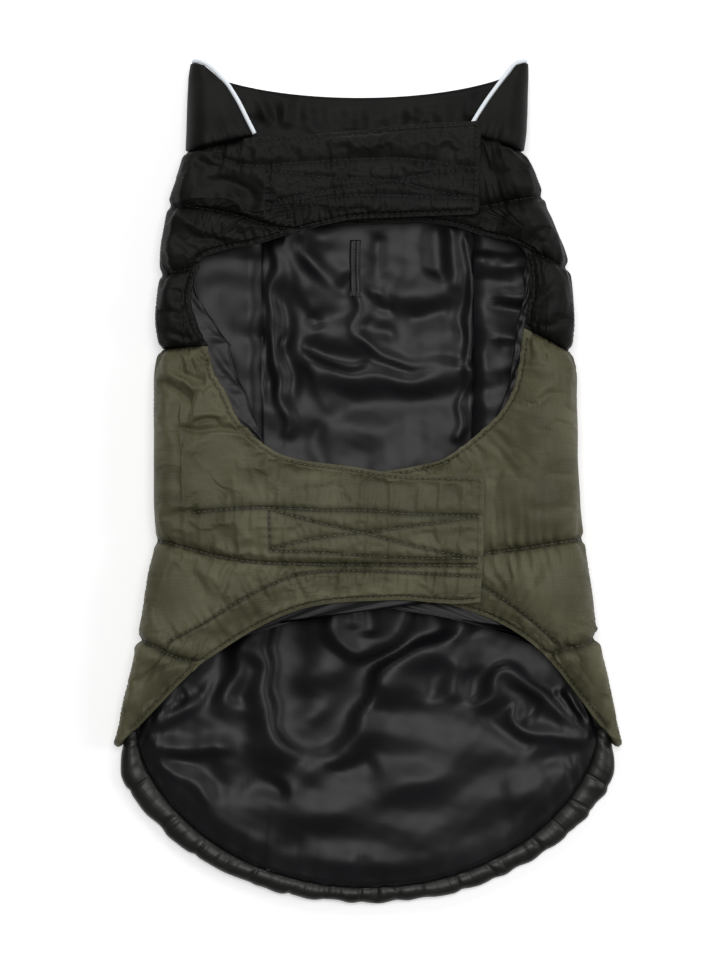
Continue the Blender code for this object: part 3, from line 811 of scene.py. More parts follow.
@dataclass
class Flank:
    """One padded flank: it lies under the coat, wraps round the side and closes over the front."""

    name: str
    side: int
    rows: tuple[Row, ...]
    seams: tuple[SewnLine, ...] = ()
    folds: tuple[Fold, ...] = ()
    top_is_free_beyond: float | None = None
    bottom_is_free: bool = False
    spacing: float = 1.3
    puff: float = 4.6
    back_steps: int = 12
    fold_steps: int = 10
    front_steps: int = 118
    most_at_edge: float = 26.0  # edge length between two table rows that still adds rows
    quilt_depth: float = 2.7
    quilt_width: float = 2.5
    gather: float = 1.45
    fine_gather: float = 0.55
    fold_gain: float = 1.7
    stitch_inset: float = 2.3
    stitch_depth: float = 0.65
    seed: int = 3
    cloth: ClothRun = ClothRun()
    base: FlankGrid | None = field(default=None, init=False)
    outer: np.ndarray | None = field(default=None, init=False)

    def blended_rows(self) -> tuple[np.ndarray, np.ndarray]:
        """The table's rows with smooth rows between them, and each one's place in the table."""
        table = np.array([row.numbers() for row in self.rows])
        padded = np.vstack([2 * table[0] - table[1], table, 2 * table[-1] - table[-2]])
        found, place = [], []
        for index in range(len(table) - 1):
            start, end = table[index : index + 2]
            at_edge = min(math.dist(start[2:4], end[2:4]), self.most_at_edge)
            length = max(math.dist(start[:2], end[:2]), at_edge)
            count = max(int(round(length / self.spacing)), 2)
            t = np.arange(count) / count
            found.append(spline(padded[index : index + 4], t[:, None]))
            place.append(index + t)
        found.append(table[-1:])
        place.append([len(table) - 1.0])
        return np.vstack(found), np.concatenate(place)

    def front_height(self, x: np.ndarray, y: np.ndarray) -> np.ndarray:
        """Height of the outer face on the front, before it swells with its fill."""
        if self.side < 0:
            return coat_height(y) + STRAP_RISE * ease((x + 85.0) / 35.0)
        start, width = RIGHT_STRAP_STEP
        return coat_height(y) - STRAP_RISE * ease((start - x) / width)

    def front_line(self, row: np.ndarray, share: np.ndarray) -> np.ndarray:
        """Points of a row seen from above, at shares of the way to its free edge."""
        stations = np.array([0.0, *row[4:7], 0.0])
        padded = np.concatenate([stations[:1], stations, stations[-1:]])
        place = share * 4.0
        index = np.minimum(place.astype(int), 3)
        lift = spline([padded[index + k] for k in range(4)], place - index)
        x = row[0] + (row[2] - row[0]) * share
        return np.stack([x, row[1] + (row[3] - row[1]) * share + lift], -1)

    def section(self, row: np.ndarray) -> np.ndarray:
        """Outer points of one row: out along the back, round the side fold, over the front."""
        outline = row[:2]
        past_shoulder = max(outline[1] - SHOULDER_Y, 0.0) / (NECK_SEAM_Y - SHOULDER_Y)
        seam_y = outline[1] - NECK_DROP * past_shoulder
        seam_y = max(seam_y, SIDE_SEAM_END[1])
        seam = np.array([self.side * (side_seam_x(seam_y) + SEAM_GAP / 2), seam_y])
        back_length = np.linalg.norm(seam - outline)
        front_length = math.dist(outline, row[2:4])
        tip = ease((outline[1] - HEM_OUTER[1]) / TIP_LENGTH)
        reach = FOLD_REACH_AT_TIP + (FOLD_REACH - FOLD_REACH_AT_TIP) * tip
        reach = min(reach, 0.8 * back_length, 0.8 * front_length)
        height = float(coat_height(outline[1]))
        share = np.arange(self.back_steps) / self.back_steps * (1.0 - reach / back_length)
        back = seam + (outline - seam) * share[:, None]
        back = np.column_stack([back, np.zeros(len(back))])
        angle = 0.5 * np.pi * np.arange(self.fold_steps + 1) / self.fold_steps
        inward = reach * (1.0 - np.sin(angle)) / back_length
        low = outline + (seam - outline) * inward[:, None]
        low = np.column_stack([low, 0.5 * height * (1.0 - np.cos(angle))])
        angle = angle[1:]
        high = self.front_line(row, reach * (1.0 - np.cos(angle)) / front_length)
        high = np.column_stack([high, 0.5 * height * (1.0 + np.sin(angle))])
        first = reach / front_length
        share = first + (1.0 - first) * np.arange(1, self.front_steps + 1) / self.front_steps
        front = self.front_line(row, share)
        level = self.front_height(front[:, 0], front[:, 1])
        start = self.front_line(row, np.array([first]))
        step_down = high[-1, 2] - self.front_height(start[:, 0], start[:, 1])
        distance = (share - first) * front_length
        level = level + step_down * (1.0 - ease(distance / 12.0))
        return np.vstack([back, low, high, np.column_stack([front, level])])

    def build_base(self) -> FlankGrid:
        """Work out the smooth form and the measures that the details need."""
        rows, place = self.blended_rows()
        points = np.array([self.section(row) for row in rows])
        back_end = self.back_steps
        fold_end = self.back_steps + 2 * self.fold_steps + 1
        columns = points.shape[1]
        column = np.arange(columns)
        front = ease((column - back_end - self.fold_steps) / (0.8 * self.fold_steps))
        under = 1.0 - ease((column - back_end) / (0.6 * self.fold_steps))
        runs = np.linalg.norm(np.diff(points, axis=1), axis=-1)
        along = np.concatenate([np.zeros((len(points), 1)), np.cumsum(runs, axis=1)], axis=1)
        line = points[:, -1, :2]
        if self.top_is_free_beyond is not None:
            top = points[0, fold_end:, :2]
            free = (top[:, 0] - self.top_is_free_beyond) * -self.side > 0.0
            line = np.vstack([top[free], line])
        if self.bottom_is_free:
            line = np.vstack([line, points[-1, :fold_end:-1, :2]])
        spaced = [line[0]]
        for point in line[1:]:
            if np.linalg.norm(point - spaced[-1]) > 1.6:
                spaced.append(point)
        line = np.array(spaced)
        edge, along_edge, _ = nearest_on_line(line, points[:, :, 0], points[:, :, 1])
        along_edge = along_edge * np.linalg.norm(np.diff(line, axis=0), axis=1).sum()
        edge = np.where((column >= back_end + self.fold_steps)[None, :], edge, 1e3)
        quilt = np.full(points.shape[:2], 1e3)
        run = np.zeros(points.shape[:2])
        for index, row in enumerate(self.rows):
            if row.quilted:
                at = int(np.argmin(np.abs(place - index)))
                distance = np.linalg.norm(points - points[at : at + 1], axis=-1)
                if index == 0 and self.top_is_free_beyond is not None:
                    past = (points[:, :, 0] - self.top_is_free_beyond) * -self.side
                    distance = distance + 60.0 * ease((past + 8.0) / 16.0)
                closer = distance < quilt
                quilt = np.where(closer, distance, quilt)
                run = np.where(closer, along[at : at + 1] + 191.0 * index, run)
        self.base = FlankGrid(
            points, np.broadcast_to(front, quilt.shape), np.broadcast_to(under, quilt.shape),
            edge, quilt, run, line, along_edge,
        )
        return self.base

    def swell(self, base: FlankGrid) -> np.ndarray:
        """How much of the full puff each point has, from 0 on seams and straps to 1."""
        x = base.points[:, :, 0]
        full = 1.0 - np.exp(-((base.quilt_distance / 8.5) ** 1.15))
        towards_strap = ease((x + 92.0) / 42.0) if self.side < 0 else ease((100.0 - x) / 34.0)
        full = full * (1.0 - 0.72 * towards_strap * base.front)
        return full * (0.25 + 0.75 * ease(base.edge_distance / 13.0))

    def relief(self, base: FlankGrid) -> tuple[np.ndarray, np.ndarray]:
        """The lift of the finished cloth over the base form, and the painted shade along its sewn
        lines, channels and puckers.
        """
        x, y = base.points[:, :, 0], base.points[:, :, 1]
        swell = self.swell(base)
        lift = self.puff * swell * base.front
        lift += 0.8 * swell * plane_noise(x / 46.0, y / 38.0, self.seed) * base.front
        far = base.quilt_distance
        shown = 1.0 - base.under
        quilt = np.exp(-((far / self.quilt_width) ** 2))
        at_fold = (1.0 - base.front) * shown
        lift -= quilt * (self.quilt_depth * base.front + 1.5 * at_fold + 1.2 * base.under)
        gather = smooth_noise(base.quilt_run / 8.0, self.seed + 1)
        fine = smooth_noise(base.quilt_run / 3.9, self.seed + 2)
        length = 7.5 * (1.2 + smooth_noise(base.quilt_run / 14.0, self.seed + 3))
        fade = np.exp(-far / np.maximum(length, 2.2)) * shown
        lift += self.gather * gather * fade * (0.35 + 0.65 * (1.0 - quilt))
        lift += self.fine_gather * fine * np.exp(-far / 3.6) * shown
        # Painted shade: darker along the quilting channels, in the puckers beside them and along
        # each sewn line.
        shade = np.maximum(
            np.exp(-((far / (1.3 + 0.5 * gather)) ** 4)),
            0.85 * ease(-1.2 * gather - 0.3) * np.exp(-far / 2.8),
        )
        for seam in self.seams:
            press, near = seam.press(x, y)
            lift += press * shown
            shade = np.maximum(shade, near**3 * shown)
        for fold in self.folds:
            lift += self.fold_gain * fold.lift(x, y) * base.front
        edge = base.edge_distance
        off_stitch = edge - self.stitch_inset
        lift -= 1.6 * (1.0 - ease(edge / 5.0)) * shown
        topstitch = np.exp(-((off_stitch / 0.8) ** 2)) * shown
        lift -= self.stitch_depth * topstitch
        pucker = smooth_noise(base.along_edge / 4.6, self.seed + 5)
        lift += 0.34 * pucker * np.exp(-np.abs(off_stitch) / 3.2) * shown
        # Painted shade along the topstitching and in the hollows of its puckers.
        shade = np.maximum(shade, topstitch**2 * 0.75)
        shade = np.maximum(shade, 0.5 * ease(-pucker - 0.2) * topstitch)
        lift = np.where(base.under > 0.98, np.minimum(lift, 0.0), lift)
        return lift, shade

    def pins(self, base: FlankGrid) -> np.ndarray:
        """How firmly each point is sewn down: fully on seams, edges and the underside."""
        held = np.exp(-((base.quilt_distance / 1.6) ** 2))
        held = np.maximum(held, np.exp(-((base.edge_distance / 3.4) ** 4)))
        x, y = base.points[:, :, 0], base.points[:, :, 1]
        for seam in self.seams:
            held = np.maximum(held, seam.press(x, y)[1] ** 2)
        held = np.maximum(held, 1.0 - base.front)
        held[0], held[-1] = 1.0, 1.0
        return np.maximum(held, 0.04)

    def outward(self, base: FlankGrid) -> np.ndarray:
        """Outward directions of the base form, steadied where its rows crowd together."""
        flat = np.zeros(base.points.shape[:2])
        normals = Grid(base.points, flat, flat).normals(float(self.side), 4)
        above = np.array([0.0, 0.0, 1.0])
        turned_over = (base.front > 0.99)[:, :, None] & (normals[:, :, 2:] < 0.3)
        normals = np.where(turned_over, above, normals)
        return np.where((base.under > 0.99)[:, :, None], -above, normals)

    def wall_depth(self, base: FlankGrid) -> np.ndarray:
        """Thickness of the padded wall at each point, thin along edges and at the tail tips."""
        tip = ease((base.points[:, :, 1] - HEM_OUTER[1]) / TIP_LENGTH)
        pad = 3.0 + (PAD - 3.0) * tip
        return EDGE_WALL + (pad - EDGE_WALL) * ease(base.edge_distance / 12.0)

    def room(self, base: FlankGrid) -> np.ndarray:
        """0 where the rows crowd together and 1 where there is room to move the cloth sideways."""
        across = np.gradient(base.points[:, :, :2], axis=1)
        along = np.gradient(base.points[:, :, :2], axis=0)
        turned = across[:, :, 0] * along[:, :, 1] - across[:, :, 1] * along[:, :, 0]
        apart = np.abs(turned) / np.maximum(np.linalg.norm(across, axis=-1), 1e-6)
        return ease((apart - 0.3) / 0.7)

    def inset_line(self, inset: float) -> np.ndarray:
        """The free edge moved into the cloth, on the ground plane."""
        line = smooth_line(self.base.free_line, 1.2)
        run = unit(np.gradient(line, axis=0))
        aside = np.stack([run[:, 1], -run[:, 0]], -1) * -self.side
        found = line + aside * inset
        near, _, _ = nearest_on_line(line, found[:, 0], found[:, 1])
        return found[near > 0.94 * inset]

    def quilt_lines(self) -> list[np.ndarray]:
        """The quilting rows over the front and the side, as points on the finished cloth."""
        found = []
        _, place = self.blended_rows()
        for index, row in enumerate(self.rows):
            if row.quilted and 0 < index < len(self.rows) - 1:
                at = int(np.argmin(np.abs(place - index)))
                line = self.outer[at, self.back_steps + self.fold_steps // 2 : -1]
                found.append(line + np.array([0.0, 0.0, 0.15]))
        return found

    def build_shell(self, material: bpy.types.Material) -> bpy.types.Object:
        """The padded panel as one closed mesh."""
        base = self.build_base()
        normals = self.outward(base)
        lift, shade = self.relief(base)
        outer = base.points + normals * lift[:, :, None]
        wobble = 0.55 * smooth_noise(base.along_edge / 11.0, self.seed + 7)
        wobble += 0.25 * smooth_noise(base.along_edge / 4.5, self.seed + 8)
        wobble = wobble * np.exp(-base.edge_distance / 6.0) * base.front * self.room(base)
        outer[:, :, 0] += wobble * 0.7 * -self.side
        outer[:, :, 1] += wobble * 0.7
        first = self.back_steps + self.fold_steps // 2
        outer[:, first:] = self.cloth.settle(outer[:, first:], self.pins(base)[:, first:])
        outer[:, :, 2] = np.maximum(outer[:, :, 2], 0.0)
        inner = base.points - normals * self.wall_depth(base)[:, :, None]
        grid = Grid(outer, flat_lengths(base.points), shade)
        piece = wall(self.name, grid, inner, float(self.side), material)
        self.outer = outer
        return piece


LEFT_BELLY_SEAMS = (
    SewnLine(((-95.8, -17.2), (-70.8, -15.0), (-52.0, -14.6), (-25.0, -16.0), (0.7, -16.3),
              (26.4, -18.3), (61.3, -19.2)), 1.3, 2.6, 0.35, 5.0, 11),
    SewnLine(((-54.3, -15.2), (-53.8, -38.9)), 0.6, 1.6, 0.15, 3.0, 12),
    SewnLine(((-53.3, -38.6), (-25.0, -39.4), (5.8, -41.4), (36.6, -42.7), (61.3, -42.4)),
             0.7, 1.8, 0.25, 3.5, 13),
    SewnLine(((-52.8, -15.8), (-27.0, -22.9), (-2.9, -28.3), (21.2, -34.8), (46.9, -40.4),
              (61.3, -43.0)), 0.8, 1.9, 0.3, 4.0, 14),
    SewnLine(((-52.2, -36.8), (-27.0, -31.2), (-2.9, -28.3), (26.4, -24.5), (61.3, -19.6)),
             0.8, 1.9, 0.3, 4.0, 15),
    SewnLine(((-109.7, -88.3), (-90.0, -77.5), (-70.8, -66.2), (-55.8, -58.4), (-35.3, -50.9),
              (-4.4, -49.4), (26.4, -50.8), (61.3, -52.7)), 0.8, 2.0, 0.4, 5.0, 16),
    SewnLine(((-131.0, -85.0), (-127.0, -87.5), (-118.0, -91.0), (-107.5, -96.6), (-91.0, -101.4)),
             3.4, 3.0, 0.7, 7.0, 17),
)
LEFT_CHEST_SEAMS = (
    SewnLine(((-83.6, 180.0), (-72.0, 175.2), (-58.7, 173.8), (-41.5, 175.2), (-14.7, 177.0),
              (14.0, 178.0), (35.0, 176.1), (58.0, 172.8)), 1.3, 2.4, 0.3, 5.0, 21),
    SewnLine(((-54.9, 172.0), (-54.5, 147.0)), 0.6, 1.6, 0.2, 3.0, 22),
    SewnLine(((-54.0, 171.3), (-24.0, 167.5), (12.0, 165.8), (35.0, 160.0), (59.0, 156.2)),
             0.7, 1.8, 0.25, 4.0, 23),
    SewnLine(((-49.0, 155.0), (-18.5, 160.8), (12.0, 165.6), (42.7, 170.4), (59.0, 171.8)),
             0.7, 1.8, 0.25, 4.0, 24),
    SewnLine(((-53.9, 152.4), (-33.8, 154.2), (-14.7, 157.0), (14.0, 157.4), (42.7, 156.0),
              (60.0, 155.6)), 1.1, 2.2, 0.3, 4.5, 25),
)
RIGHT_BELLY_SEAMS = (
    SewnLine(((62.0, -57.0), (65.0, -59.0), (84.7, -71.7), (98.0, -83.0), (105.0, -90.0)),
             0.9, 2.0, 0.4, 5.0, 31),
    SewnLine(((132.0, -82.5), (126.0, -87.0), (117.0, -91.0), (108.0, -93.0), (96.0, -98.5)),
             3.4, 3.0, 0.7, 7.0, 32),
)

LEFT_OLIVE_FOLDS = (
    Fold(((-107.7, 61.9), (-95.8, 57.4), (-88.5, 53.0)), -1.9, 2.6),
    Fold(((-114.0, 56.0), (-105.5, 50.8), (-98.8, 44.8), (-95.0, 40.5)), -2.0, 2.6, 0.3),
    Fold(((-112.0, 62.0), (-102.0, 55.0), (-93.0, 47.5)), 1.2, 3.4),
    Fold(((-105.5, 31.0), (-94.3, 27.7), (-78.0, 28.4), (-58.6, 25.6)), -1.9, 1.9, 0.4, 0.1, 0.8),
    Fold(((-97.0, 31.5), (-88.0, 33.4), (-80.0, 32.6)), -1.6, 1.6),
    Fold(((-100.0, 35.5), (-86.0, 37.0), (-76.0, 34.0)), 0.9, 3.4),
    Fold(((-104.5, 70.0), (-102.5, 65.5), (-101.0, 61.0)), -1.3, 1.7, 0.0, 1.0),
    Fold(((-99.5, 71.5), (-97.0, 65.0), (-93.5, 58.5)), -1.3, 1.7, 0.0, 1.0),
    Fold(((-94.5, 70.5), (-91.0, 66.0), (-87.6, 63.5)), -1.2, 1.5, 0.0, 1.0),
    Fold(((-109.0, 68.0), (-108.5, 60.0)), 0.8, 2.6, 0.0, 1.0),
    Fold(((-112.0, -20.0), (-98.0, -17.5), (-90.0, -19.5)), -0.9, 2.4),
    Fold(((-84.0, -17.5), (-70.0, -26.0), (-66.0, -38.0)), 0.9, 6.0),
    Fold(((-131.0, -112.5), (-117.0, -106.0), (-101.0, -95.7)), -1.0, 2.6),
    Fold(((-134.0, -128.0), (-120.0, -113.0), (-104.0, -101.5)), 0.8, 4.0),
    Fold(((-75.0, 12.0), (-71.0, -6.0), (-70.0, -14.0)), 0.6, 5.0),
    Fold(((-62.0, -52.0), (-59.0, -60.0), (-54.0, -66.0)), -0.8, 1.6),
    Fold(((-41.0, -52.0), (-38.0, -58.0), (-34.5, -67.0)), -0.9, 1.4, 0.3, 0.9),
    Fold(((30.0, -56.0), (26.0, -63.0)), -0.6, 1.2),
    Fold(((-15.0, -6.5), (-9.5, -13.5)), -0.7, 1.3),
    Fold(((-72.0, -54.0), (-77.0, -61.0), (-79.0, -67.0)), 0.7, 2.2),
    Fold(((-98.0, -48.0), (-92.0, -58.0), (-89.0, -66.0)), -0.7, 2.6),
)
RIGHT_OLIVE_FOLDS = (
    Fold(((92.0, 79.5), (97.0, 72.0), (98.0, 64.0)), -1.4, 1.9, 0.0, 1.0),
    Fold(((99.0, 76.0), (104.0, 68.0), (108.0, 62.0)), -1.3, 2.0, 0.0, 1.0),
    Fold(((88.0, 80.5), (91.0, 72.0), (90.5, 65.0)), -1.1, 1.6, 0.0, 1.0),
    Fold(((105.0, 70.0), (111.0, 60.0)), 0.9, 2.6, 0.0, 1.0),
    Fold(((108.0, 55.0), (99.0, 46.0), (86.0, 36.0), (78.0, 30.0)), -1.0, 3.4),
    Fold(((110.0, 40.0), (97.0, 30.0), (84.0, 22.0)), 0.7, 5.5),
    Fold(((66.0, 24.0), (56.0, 16.0), (42.0, 9.0), (30.0, 5.5)), -1.2, 1.5, 0.2, 0.2, 0.8),
    Fold(((112.0, -12.0), (98.0, -16.0), (84.0, -14.0)), -0.7, 4.0),
    Fold(((69.0, -50.0), (74.0, -57.0), (76.0, -63.0)), -1.0, 1.8),
    Fold(((77.0, -47.0), (80.0, -55.0)), -0.9, 1.6, 0.0, 1.0),
    Fold(((96.0, -42.0), (94.0, -52.0), (90.0, -60.0)), -0.8, 2.6),
    Fold(((104.0, -86.0), (112.0, -92.0), (121.0, -101.0)), -1.0, 2.2),
    Fold(((112.0, -97.0), (124.0, -112.0), (133.0, -128.0)), -0.9, 3.0),
    Fold(((118.0, -88.0), (128.0, -104.0), (134.0, -116.0)), 0.8, 4.0),
)
LEFT_BLACK_FOLDS = (
    Fold(((-108.0, 148.0), (-96.0, 141.0), (-86.0, 139.0)), 0.9, 4.0),
    Fold(((-100.0, 132.0), (-88.0, 134.0), (-76.0, 131.0)), -0.9, 2.4),
    Fold(((-112.0, 140.0), (-103.0, 133.0), (-97.0, 126.0)), -0.9, 2.8),
    Fold(((-92.0, 163.0), (-78.0, 165.5), (-66.0, 160.0), (-60.0, 152.0)), -1.1, 2.6),
    Fold(((-86.0, 158.0), (-74.0, 157.0), (-66.0, 150.0)), 0.8, 3.0),
    Fold(((-98.0, 178.0), (-88.0, 174.0), (-76.0, 173.0)), -0.8, 2.6),
    Fold(((-112.0, 96.0), (-104.0, 92.0), (-97.0, 94.0)), -0.8, 2.2),
    Fold(((-110.0, 84.0), (-102.0, 79.0), (-96.0, 80.0)), -0.9, 2.0),
    Fold(((-30.0, 150.0), (-10.0, 152.5), (12.0, 151.0)), 0.6, 3.0),
    Fold(((-32.0, 192.0), (-5.0, 187.0), (22.0, 188.5)), 0.9, 5.0),
)
RIGHT_BLACK_FOLDS = (
    Fold(((96.0, 152.0), (86.0, 146.0), (74.0, 146.0)), 0.9, 4.0),
    Fold(((98.0, 140.0), (90.0, 133.0), (86.0, 130.0)), -1.1, 2.4),
    Fold(((104.0, 134.0), (96.0, 131.5), (90.0, 127.0)), -0.8, 2.4),
    Fold(((90.0, 176.0), (80.0, 170.0), (68.0, 168.0)), -0.8, 4.0),
    Fold(((106.0, 112.0), (100.0, 104.0), (96.0, 98.0)), -0.7, 3.0),
    Fold(((108.0, 92.0), (101.0, 86.0), (95.0, 86.0)), -0.9, 2.0),
    Fold(((80.0, 186.0), (74.0, 180.0), (70.0, 172.0)), 0.7, 3.4),
)


# ---------------------------------------------------------------- linings, back and trims


